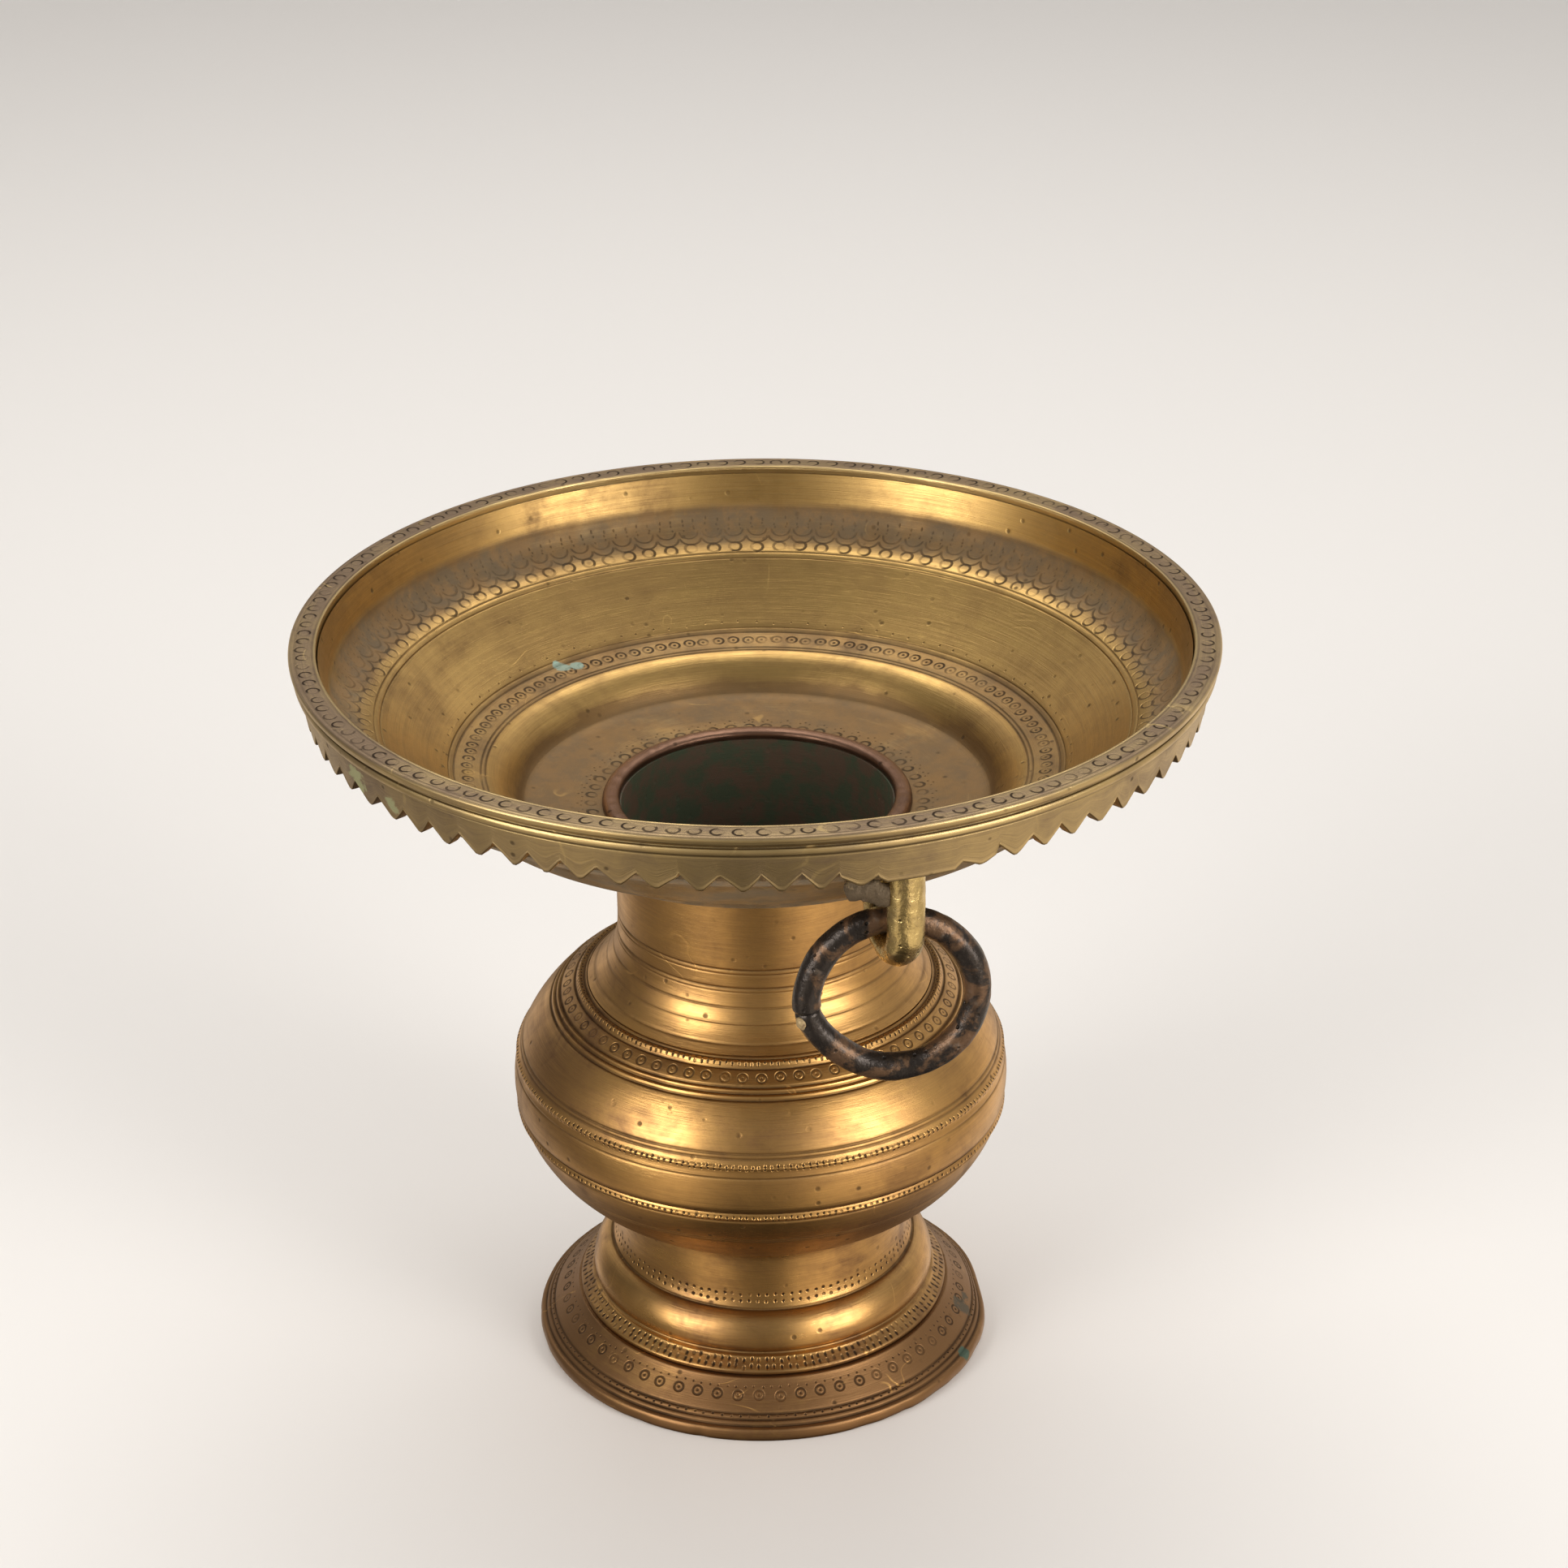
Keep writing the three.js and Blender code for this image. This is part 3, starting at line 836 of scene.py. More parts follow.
def make_standing_plate(looks):
    """The sloping plate with a turned edge that the vessel stands on."""
    edge, top = PLATE.radius, PLATE.high
    collar = STEM.radius
    inner = collar - 5.2
    face = trace(
        (inner, top),
        (collar + 0.5, top),
        ((collar + 0.9, top), (collar + 1.3, top - 0.6)),
        (edge - 2.4, 6.0),
        ((edge - 1.6, 5.1), (edge - 1.2, 5.0)),
        ((edge, 4.9), (edge, 2.6)),
        ((edge, 0.4), (edge - 1.3, 0.0)),
        (edge - 4.6, 0.0),
    )
    under = top - 2.8
    back = trace((edge - 5.0, 0.5), (edge - 5.6, 2.2), (collar - 0.9, under), (inner, under))
    marks = [
        ("r", edge - 4.9, 0.4, 0.4),
        ("r", edge - 3.4, 0.35, 0.45),
        ("r", edge - 1.9, 0.4, 0.4),
    ]

    def dented(r, z, a):
        bent_at, bent_by = math.radians(77.3), 1.5
        near_edge = np.clip((9.0 - z) / 4.0, 0, 1)
        r = r - bent_by * near_edge * hill(angle_past(a, bent_at), 0.2)
        on_edge = np.clip((5.5 - z) / 5.5, 0, 1)
        dents = np.zeros_like(a)
        draw = np.random.default_rng(31)
        for _ in range(16):
            at = draw.uniform(0, FULL_TURN)
            width = draw.uniform(0.02, 0.07)
            depth = draw.uniform(0.1, 0.5)
            dents = dents + depth * hill(angle_past(a, at), width)
        return r - dents * on_edge, z

    def eyes(w, place):
        slant = 1.35
        radius = place["Radius"]
        on_top = place["Height"].ramp(5.6, 6.6)
        middle, outer_row, inner_row = collar + 5.2, edge - 4.4, collar + 3.0
        rows = stamped(
            w, place, (radius - middle) * slant, middle,
            count=62.0, ring=1.6, line=0.55, dot=0.7, jitter=0.35, seed=3.0,
        )
        outer_dots = dots_only(
            w, place, (radius - outer_row) * slant, outer_row,
            count=150.0, dot=0.6, jitter=0.25, seed=4.0,
        )
        inner_dots = dots_only(
            w, place, (radius - inner_row) * slant, inner_row,
            count=140.0, dot=0.5, jitter=0.2, seed=5.0,
        )
        total = rows["Ring"] * 0.8 + rows["Dot"] * 0.8 + outer_dots + inner_dots * 0.8
        return total.clamped() * on_top

    tones = pot_tones(looks)
    spots = [
        ((53.8, -55.4, 4.9), 2.8, looks.blue_green, 0.4),
        ((59.6, -35.7, 9.5), 4.2, looks.grey_patina, 0.7),
        ((62.5, -30.5, 9.0), 3.0, looks.grey_patina, 0.7),
    ]
    material = turned_brass("standing plate brass", tones, 1, eyes, spots, lambda w, p: 0.7)
    piece = turned_piece(
        "standing_plate", Profile(face, back, marks), even_angles(400), 11, 0.15, dented
    )
    set_in_place(piece, "vessel", "base_plate", "pot_brass", material)


def make_stem(looks):
    """The turned stem with its torus and dotted collar."""
    foot, top = STEM.low, STEM.high
    collar = STEM.radius
    waist = collar - 13.5
    torus = collar - 4.6
    inside = waist - 3.2
    face = trace(
        (waist + 3.8, top + 0.2),
        ((waist + 0.4, top - 0.8), (waist, top - 7.0)),
        (waist + 0.2, foot + 24.5),
        ((waist + 0.5, foot + 21.0), (waist + 1.7, foot + 18.9)),
        ((waist + 2.0, foot + 18.6), (waist + 2.2, foot + 18.4)),
        ((torus - 2.6, foot + 16.9), (torus - 0.7, foot + 11.4)),
        ((torus + 0.2, foot + 8.0), (torus - 0.9, foot + 6.0)),
        ((torus - 1.4, foot + 5.3), (torus - 0.2, foot + 4.9)),
        (collar - 1.4, foot + 2.4),
        ((collar, foot + 1.6), (collar, foot + 0.9)),
        ((collar, foot + 0.3), (collar - 0.7, foot)),
    )
    back = trace(
        (collar - 3.2, foot),
        (torus - 3.9, foot + 5.4),
        (torus - 3.9, foot + 12.4),
        (inside, foot + 22.4),
        (inside, top),
        (waist + 1.5, top + 0.2),
    )
    marks = [
        ("z", foot + 18.7, 0.45, 0.4),
        ("z", foot + 5.8, 0.6, 0.2),
        ("z", foot + 4.6, 0.4, -0.15),
        ("z", foot + 0.8, 0.5, 0.2),
    ]

    def dots(w, place):
        low = place["Height"] - foot
        rows = (
            (23.6, waist + 0.6, 112.0),
            (21.2, waist + 0.9, 112.0),
            (3.9, collar - 3.4, 150.0),
            (2.5, collar - 2.2, 150.0),
        )
        masks = []
        for i, (level, radius, count) in enumerate(rows):
            values = {"count": count, "dot": 0.75, "jitter": 0.28, "seed": 10.0 + i}
            masks.append(dots_only(w, place, low - level, radius, **values))
        return sum(masks).clamped()

    tones = pot_tones(looks)
    material = turned_brass("stem brass", tones, 2, dots, (), lambda w, p: 0.12, gloss=-0.05)
    piece = turned_piece("turned_stem", Profile(face, back, marks), even_angles(360), 12)
    set_in_place(piece, "vessel", "foot_stem", "pot_brass", material)


# ---- The pot -------------------------------------------------------------------------------


def pot_outlines():
    """The pot's lower and upper outlines, which meet at the belly."""
    bottom = (NECK.radius - 3.4, BOWL.low)
    belly = (SHOULDER.radius, BOWL.high + 7.6)
    mouth = (NECK.radius + 0.3, SHOULDER.high)
    return bulge(bottom, belly, 0.72), bulge(mouth, belly, 0.84)


def inside_crust(looks):
    """The crust on the side of a shell that its marked face turns away from."""

    def inner_side(w, place):
        return (1 - place["Faced"]) * 0.9

    return inner_side, looks.bore_brown, looks.bore_green


def knurled(level):
    """Struck dots in two rows along a raised line round the belly."""

    def mask(w, place):
        masks = []
        for shift, seed in ((0.55, 20.0), (-0.55, 21.0)):
            across = place["Height"] - level - shift
            values = {"count": 250.0, "dot": 0.62, "jitter": 0.22, "seed": seed}
            masks.append(dots_only(w, place, across, SHOULDER.radius, **values))
        return sum(masks).clamped()

    return mask


def make_lower_bowl(looks):
    """The pot's closed lower half, up to its brazed seam."""
    lower, _ = pot_outlines()
    seam = BOWL.high
    outside = [p for p in lower if p[1] < seam - 0.6]
    outside += [(radius_at(lower, seam - 0.5), seam - 0.5), (radius_at(lower, seam) - 0.4, seam)]
    wall = looks.pot_wall
    floor = BOWL.low + wall
    inside = [p for p in moved_out(outside, wall) if floor + 1 < p[1] < seam - 1]
    inner_edge = outside[-1][0] - wall
    back = [(inner_edge, seam), *inside[::-1], (inside[0][0] - 4, floor), (AXIS_GAP, floor)]
    face = [(AXIS_GAP, BOWL.low), (30.0, BOWL.low), *outside]
    knurl_line = seam - 1.7
    marks = [
        ("z", knurl_line, 0.75, -0.75),
        ("z", seam - 3.4, 0.35, 0.3),
        ("z", seam - 12.8, 0.25, 0.12),
        ("z", seam - 14.0, 0.25, 0.12),
        ("z", BOWL.low + 1.2, 0.3, 0.1),
    ]

    # Painted shade: darker towards the bottom, where the bowl faces down into the shade it casts on the floor.
    def painted_shade_below(w, place):
        return place["Height"].ramp(seam, BOWL.low) * 0.35 + 0.1

    material = turned_brass(
        "lower bowl brass", pot_tones(looks), 3, knurled(knurl_line), (), painted_shade_below,
        crust=inside_crust(looks),
    )
    piece = turned_piece("lower_pot", Profile(face, back, marks), even_angles(400), 13)
    set_in_place(piece, "vessel", "lower_bowl", "pot_brass", material)


def make_shoulder(looks):
    """The pot's upper half, from the seam to the ledge that holds the neck's foot."""
    lower, upper = pot_outlines()
    seam, top = SHOULDER.low, SHOULDER.high
    mouth = NECK.radius + 0.3
    belly = [p for p in lower if p[1] > seam + 0.6]
    outside = [(radius_at(lower, seam) - 0.4, seam), (radius_at(lower, seam + 0.5), seam + 0.5)]
    outside += belly[:-1] + upper[::-1]
    ledge = top - 2
    inner = mouth - 4.6
    wall = looks.pot_wall
    under = ledge - wall
    inside = [p for p in moved_out(outside, wall) if seam + 1 < p[1] < under - 1.5]
    back = [(mouth, ledge), (inner, ledge), (inner, under)]
    back += [*inside[::-1], (outside[0][0] - wall, seam)]
    knurl_line, ridge, eye_line = 110.5, 60.7, 65.0
    marks = [
        ("z", 114.7, 0.4, 0.28),
        ("z", 113.1, 0.4, 0.28),
        ("z", knurl_line, 0.85, -0.8),
        ("z", 106.8, 0.35, 0.22),
        ("r", ridge, 0.8, -0.9),
        ("r", 62.4, 0.4, 0.4),
        ("r", 59.2, 0.4, 0.35),
        ("r", 67.6, 0.42, 0.5),
        ("r", 69.2, 0.42, 0.5),
        ("r", 70.9, 0.42, 0.5),
        ("r", 68.4, 0.4, -0.25),
        ("r", 70.0, 0.4, -0.25),
    ]

    def struck(w, place):
        radius = place["Radius"]
        above = place["Height"].ramp(125.0, 127.0)
        total = knurled(knurl_line)(w, place)
        for shift, seed in ((0.6, 24.0), (-0.6, 25.0)):
            across = (radius - ridge - shift) * 1.12
            values = {"count": 185.0, "dot": 0.55, "jitter": 0.25, "seed": seed}
            total = total + dots_only(w, place, across, ridge, **values) * above
        eyes = stamped(
            w, place, (radius - eye_line) * 1.25, eye_line,
            count=68.0, ring=1.55, line=0.5, dot=0.55, jitter=0.3, seed=26.0,
        )
        return (total + (eyes["Ring"] * 0.75 + eyes["Dot"] * 0.5) * above).clamped()

    spots = [
        ((-52.7, -58.8, 125.0), 3.6, looks.pot_aged, 0.6),
        ((-47.5, -63.5, 124.5), 1.7, looks.pot_dark, 0.6),
    ]

    def seam_dirt(w, place):
        return place["Height"].ramp(seam + 1.6, seam + 0.1) * 0.8

    material = turned_brass(
        "shoulder brass", pot_tones(looks), 4, struck, spots, seam_dirt,
        crust=inside_crust(looks),
    )
    piece = turned_piece("upper_pot", Profile(outside, back, marks), even_angles(400), 14)
    set_in_place(piece, "vessel", "shoulder_shell", "pot_brass", material)


def make_neck(looks):
    """The straight neck with its flared foot."""
    foot, top = NECK.low, NECK.high
    edge = foot + 2
    flare_out, flare_rise, steps = 10.7, 25, 26
    tube = NECK.radius - flare_out
    flare = []
    for i in range(steps + 1):
        share = 1 - i / steps
        flare.append((tube + flare_out * share**2.7, edge + flare_rise * (1 - share)))
    straight = edge + flare_rise + 1
    bore = tube - looks.neck_wall
    inner_foot = NECK.radius - 4.3
    inside = moved_out(flare, looks.neck_wall)
    inside = [p for p in inside if p[0] < inner_foot and p[1] > foot + 3]
    face = [(NECK.radius, foot), *flare]
    face += trace((tube, straight), (tube, top - 0.4), (tube - 0.4, top))
    back = [(bore, top), *trace((bore, top - 1), (bore, straight)), *inside[::-1]]
    back += [(inner_foot, foot + 2), (inner_foot, foot)]
    marks = [
        ("z", foot + 27.2, 0.4, 0.3),
        ("z", foot + 25.6, 0.3, 0.2),
        ("z", foot + 20.7, 0.4, 0.3),
        ("z", foot + 19.3, 0.3, 0.15),
        ("z", foot + 14.3, 0.35, 0.22),
        ("z", foot + 9.7, 0.4, 0.15),
        ("z", foot + 4.4, 0.5, 0.15),
    ]

    def in_bore(w, place):
        return place["Radius"].ramp(tube - 0.8, tube - 1.8)

    # Painted shade: darker towards the top, in the shade under the dish.
    def painted_shade_under_dish(w, place):
        return place["Height"].ramp(top - 9, top - 2) * 0.5

    material = turned_brass(
        "neck brass", pot_tones(looks), 5, None, (), painted_shade_under_dish,
        cloud=0.5, crust=(in_bore, looks.bore_brown, looks.bore_green),
    )
    piece = turned_piece("neck", Profile(face, back, marks), even_angles(360), 15)
    set_in_place(piece, "vessel", "neck_tube", "pot_brass", material)


def make_mouth_lip(looks):
    """The worn copper ring over the joint of the neck and the dish's floor."""
    low, crown, outer = LIP.low, LIP.high, LIP.radius
    bore = outer - 5.8
    middle = (bore + outer) / 2
    face = trace(
        (outer, low),
        ((outer, crown), (middle, crown)),
        ((bore, crown), (bore, low + 0.8)),
        bend_steps=14,
    )
    back = [(bore, low), (middle, low)]

    def beaten(r, z, a):
        uneven = 0.22 * wander(a[0], 71, waves=40, lowest=8)[None, :]
        high = np.clip((z - low) / (crown - low), 0, 1)
        return r + uneven * high * 0.6, z - np.abs(uneven) * high

    tones = Tones(looks.copper_clean, looks.copper_aged, looks.pot_dark)
    material = turned_brass("mouth copper", tones, 6, cloud=0.7, gloss=0.06)
    piece = turned_piece("mouth_lip", Profile(face, back), even_angles(360), 16, 0.2, beaten)
    set_in_place(piece, "vessel", "mouth_ring", "lip_copper", material)


# ---- The dish and its rim ------------------------------------------------------------------


def dish_face():
    """The dish's upper surface, from the top of its wall in to the hole in its floor."""
    rim, edge = DISH.radius, DISH.high
    floor = LIP.low - 0.3
    return trace(
        (rim - 0.15, edge + 12.6),
        (rim - 3.3, edge + 1.4),
        ((rim - 3.8, edge - 3.6), (rim - 8.5, edge - 6.9)),
        (rim - 17.7, edge - 11),
        ((rim - 29.6, edge - 21.95), (rim - 41.5, edge - 30.9)),
        (rim - 52, edge - 33),
        ((rim - 58, edge - 33.8), (rim - 64, edge - 43.8)),
        ((rim - 65.5, edge - 45.0), (rim - 70, edge - 45.2)),
        (LIP.radius + 1, floor),
        (LIP.radius - 3.6, floor),
        bend_steps=14,
    )


def dish_back(face, wall):
    """The dish's underside, from the neck out to its edge."""
    rim, edge = DISH.radius, DISH.high
    under = [p for p in moved_out(face, wall) if p[0] < rim - 1 and p[1] < edge - wall - 2]
    under = [p for p in under if p[0] > face[-1][0] + 1][::2]
    return [(face[-1][0], face[-1][1] - wall), *under[::-1], (rim, edge - wall - 1)]


def make_dish(looks):
    """The dish, with its engraved ledge, eye band, rolled shoulder and well."""
    rim, edge = DISH.radius, DISH.high
    face = dish_face()
    band_outer, band_inner = rim - 41.2, rim - 51.4
    marks = [
        ("r", rim - 16.9, 0.25, 0.28),
        ("r", rim - 18.9, 0.25, 0.28),
        ("r", band_outer + 1.2, 0.25, 0.26),
        ("r", band_outer - 0.4, 0.25, 0.28),
        ("r", band_inner + 1.0, 0.25, 0.28),
        ("r", band_inner - 0.5, 0.25, 0.28),
    ]

    def struck(w, place):
        radius, slant = place["Radius"], 1.1
        eye_line = (band_outer + band_inner) / 2 + 0.2
        eyes = stamped(
            w, place, radius - eye_line, eye_line,
            count=116.0, ring=1.75, line=0.5, dot=0.65, jitter=0.3, open=0.6, seed=41.0,
        )
        total = eyes["Ring"] + eyes["Dot"]
        band_dots = dots_only(
            w, place, radius - band_outer - 2.9, band_outer + 2.9,
            count=104.0, dot=0.5, jitter=0.5, seed=42.0,
        )
        hanging = rings_only(
            w, place, (radius - rim + 14.3) * slant, rim - 14.3,
            count=103.0, ring=2.1, line=0.6, jitter=0.4, open=0.7, seed=43.0,
        )
        arcs = rings_only(
            w, place, (radius - rim + 8.9) * slant, rim - 8.9,
            count=103.0, ring=3.9, line=0.55, jitter=0.25, seed=44.0,
        )
        upper_arcs = rings_only(
            w, place, (radius - rim + 6.4) * slant, rim - 6.4,
            count=103.0, ring=3.4, line=0.5, jitter=0.3, seed=51.0,
        )
        total = total + band_dots * 0.7 + hanging * 0.85
        total = total + arcs * radius.ramp(rim - 9.0, rim - 10.0) * 0.75
        total = total + upper_arcs * radius.ramp(rim - 6.6, rim - 7.4) * 0.75
        for shift, seed in ((4.6, 45.0), (5.6, 46.0), (6.6, 47.0)):
            across = (radius - rim + shift) * slant
            values = {"count": 206.0, "dot": 0.45, "jitter": 0.35, "seed": seed}
            total = total + dots_only(w, place, across, rim - shift, **values) * 0.7
        total = total + rings_only(
            w, place, radius - LIP.radius - 3.4, LIP.radius + 3.4,
            count=56.0, ring=1.7, line=0.6, jitter=0.35, open=0.7, seed=48.0,
        )
        for shift, count, seed in ((6.8, 112.0, 49.0), (8.2, 56.0, 50.0)):
            across = radius - LIP.radius - shift
            values = {"count": count, "dot": 0.45, "jitter": 0.3, "seed": seed}
            total = total + dots_only(w, place, across, LIP.radius + shift, **values) * 0.8
        return total.clamped()

    # Extra age for the dish: stains in the cloud and smudges, patina in the eye band, darker on the floor, in the well
    # and near the lip, patina and painted shade in the cove under the wall, and painted shade over the whole
    # underside.
    def dirt_and_shade(w, place):
        radius = place["Radius"]
        cove = radius.ramp(rim - 16.5, rim - 8.0) * place["Height"].ramp(edge + 3.5, edge)
        wall = place["Height"].ramp(edge + 1.0, edge + 4.0)
        floor = radius.ramp(rim - 60.0, rim - 65.0)
        well = radius.ramp(rim - 58.5, rim - 62.5) * radius.ramp(rim - 69.5, rim - 65.0)
        band = radius.ramp(band_inner - 2.5, band_inner) * radius.ramp(band_outer + 2.5, band_outer)
        near_lip = radius.ramp(LIP.radius + 6.0, LIP.radius)
        spot = w.spot()
        cloud = w.noise(spot, 30.0, 4.0).ramp(0.3, 0.6)
        smudge = w.noise(spot, 21.0, 6.0, 0.65, 0.4).ramp(0.52, 0.72) * 0.55
        under = 1 - place["Faced"]
        spread = cove * 0.95 + well * 0.3 + near_lip * 0.4 + floor * 0.95 + band * 0.5
        return spread * (0.5 + cloud * 0.5) + smudge + wall * 0.1 + under * 0.7

    tones = Tones(looks.dish_clean, looks.dish_aged, looks.pot_dark)
    spots = [
        ((-41.8, 90.9, 218.6), 2.0, looks.verdigris, 0.35),
        ((-39.9, 89.5, 217.8), 2.8, looks.verdigris, 0.35),
        ((-34.8, 90.0, 217.2), 2.8, looks.verdigris, 0.35),
    ]

    # A dull crust: tarnish and painted shade over the cove, tarnish over the floor and the eye band, and a dark layer
    # over the underside as painted shade.
    def grime_and_shade(w, place):
        radius = place["Radius"]
        cove = radius.ramp(rim - 17.0, rim - 9.0) * place["Height"].ramp(edge + 4.0, edge - 1.0)
        floor = radius.ramp(rim - 61.0, rim - 66.0)
        band = radius.ramp(band_inner - 1.5, band_inner) * radius.ramp(band_outer + 1.5, band_outer)
        under = 1 - place["Faced"]
        cloud = w.noise(w.spot(), 55.0, 5.0, 0.6).ramp(0.3, 0.65)
        spread = cove * 0.9 + floor * 0.55 + band * 0.35 + under * 0.9
        return spread * (0.45 + cloud * 0.55)

    material = turned_brass(
        "dish brass", tones, 7, struck, spots, dirt_and_shade,
        cloud=0.5, gloss=0.02, crust=(grime_and_shade, looks.dish_grime, looks.dish_aged),
    )
    profile = Profile(face, dish_back(face, looks.dish_wall), marks)
    piece = turned_piece("dish", profile, even_angles(420), 17, 0.1)
    set_in_place(piece, "vessel", "dish_pan", "dish_brass", material)


def tooth_edges(count, plain_from, plain_to, seed):
    """Angles of the cuts between teeth, unevenly spaced, leaving a plain stretch at the lug."""
    draw = np.random.default_rng(seed)
    toothed = FULL_TURN - (plain_to - plain_from)
    widths = 1 + draw.normal(0, 0.09, count)
    widths *= toothed / widths.sum()
    return plain_to + np.concatenate([[0], np.cumsum(widths)]), draw


def make_rim(looks):
    """The cast rim: a flat stamped top, a rounded lip, a moulding and a skirt filed into teeth."""
    outer, top, tip = RIM.radius, RIM.high, RIM.low
    inner = DISH.radius + 0.3
    skirt_top = top - 8
    face = trace(
        (inner, top - 0.5),
        ((inner, top), (inner + 0.5, top)),
        (outer - 1.2, top),
        ((outer, top), (outer, top - 1.3)),
        ((outer, top - 2.8), (outer - 1.0, top - 3.3)),
        ((outer - 1.7, top - 3.6), (outer - 1.5, top - 4.0)),
        ((outer - 0.8, top - 4.2), (outer - 0.8, top - 5.2)),
        ((outer - 0.8, top - 6.6), (outer - 1.7, top - 7.0)),
        ((outer - 2.7, top - 7.4), (outer - 2.6, skirt_top)),
        (outer - 4.6, tip + 0.5),
        ((outer - 4.7, tip), (outer - 5.2, tip)),
        pitch=2.6,
        bend_steps=4,
    )
    back = trace((inner + 0.4, tip), (inner, tip + 0.4), (inner, top - 1), pitch=3)
    marks = [
        ("r", inner + 1.1, 0.3, 0.15),
        ("r", outer - 1.9, 0.3, 0.12),
        ("z", top - 0.9, 0.5, -0.15),
        ("z", top - 3.7, 0.5, 0.35),
        ("z", top - 7.3, 0.45, 0.4),
        # A low ridge along the teeth's lower edge, lightened by the finish as rubbed wear and as a painted highlight.
        ("z", tip + 0.9, 0.6, -0.12),
    ]
    teeth, tooth_height = looks.teeth, looks.tooth_height
    cuts, draw = tooth_edges(teeth, math.radians(-4.6), math.radians(5.6), 81)
    shares = (0, 0.06, 0.18, 0.31, 0.42, 0.5, 0.58, 0.69, 0.82, 0.94)
    angles, drops = [], []
    for k in range(teeth):
        depth = 1 + draw.normal(0, 0.09)
        lean = draw.normal(0, 0.035)
        depth = min(depth, 1.12) * {0: 0.5, teeth - 1: 0.62}.get(k, 1)
        for u in shares:
            side = 1 - abs(2 * (u + lean * math.sin(math.pi * u)) - 1)
            angles.append(cuts[k] + (cuts[k + 1] - cuts[k]) * u)
            drops.append((1 - min(side / 0.86, 1.0)) * depth)
    plain = np.linspace(cuts[-1], cuts[0] + FULL_TURN, 12)[:-1]
    angles = np.array(angles + list(plain))
    drops = np.array(drops + [0.0] * len(plain))
    drops[-len(plain)] = 0.3
    order = np.argsort(angles % FULL_TURN)
    angles, drops = (angles % FULL_TURN)[order], drops[order]

    def cut_teeth(r, z, a):
        skirt = skirt_top - tip
        inside = r < inner + 1.5
        deep = skirt - tooth_height * drops[None, :]
        shallow = skirt - np.minimum(tooth_height * drops, 3.6)[None, :]
        left = np.where(inside, shallow, deep) / skirt
        on_skirt = z < skirt_top
        new_z = np.where(on_skirt, skirt_top - np.clip(skirt_top - z, 0, None) * left, z)
        slope = 2.0 / (skirt - 0.5)
        return np.where(on_skirt & ~inside, r + (new_z - z) * slope, r), new_z

    def struck(w, place):
        on_top = place["Height"].ramp(top - 0.7, top - 0.2)
        middle = (inner + outer) / 2
        rings = rings_only(
            w, place, place["Radius"] - middle, middle,
            count=139.0, ring=1.95, line=0.5, jitter=0.35, open=0.85, seed=61.0,
        )
        return rings * on_top

    # A duller top and a more tarnished skirt, and a painted reflection that makes the inner wall lighter.
    def dull_top_and_lit_wall(w, place):
        wall = place["Radius"].ramp(inner + 1.2, inner + 0.4)
        skirt = place["Height"].ramp(skirt_top + 0.5, skirt_top - 0.5)
        return place["Height"].ramp(top - 1.0, top - 0.1) * 0.6 - wall * 0.7 + skirt * 0.25

    tones = Tones(looks.rim_clean, looks.rim_aged, looks.pot_dark)
    spots = [
        ((-142.6, -37.7, 251.0), 5.0, looks.pale_green, 0.7),
        ((-136.1, -55.5, 249.5), 3.4, looks.pale_green, 0.7),
    ]
    material = turned_brass("rim brass", tones, 8, struck, spots, dull_top_and_lit_wall, cloud=0.5, gloss=0.04)
    piece = turned_piece("toothed_rim", Profile(face, back, marks), angles, 18, 0.1, cut_teeth)
    set_in_place(piece, "vessel", "rim_band", "rim_brass", material)


# ---- The lug and the ring ------------------------------------------------------------------


def rough_cast(amount, scale, seed):
    """Moves points by a smooth uneven amount, as on a hand-finished casting."""

    def reshape(spots):
        middle = spots.mean(axis=1, keepdims=True)
        arms = spots - middle
        length = np.linalg.norm(arms, axis=2, keepdims=True)
        for i in range(spots.shape[0]):
            for j in range(spots.shape[1]):
                place = Vector(spots[i, j] / scale + seed)
                swell = noise.noise(place) + 0.45 * noise.noise(place * 2.3)
                spots[i, j] += arms[i, j] / length[i, j] * swell * amount
        return spots

    return reshape


def level_under(under, radius):
    """The level of the dish's underside at a radius."""
    for (r0, z0), (r1, z1) in zip(under, under[1:]):
        if min(r0, r1) <= radius <= max(r0, r1) and r0 != r1:
            return z0 + (z1 - z0) * (radius - r0) / (r1 - r0)
    return under[0][1]


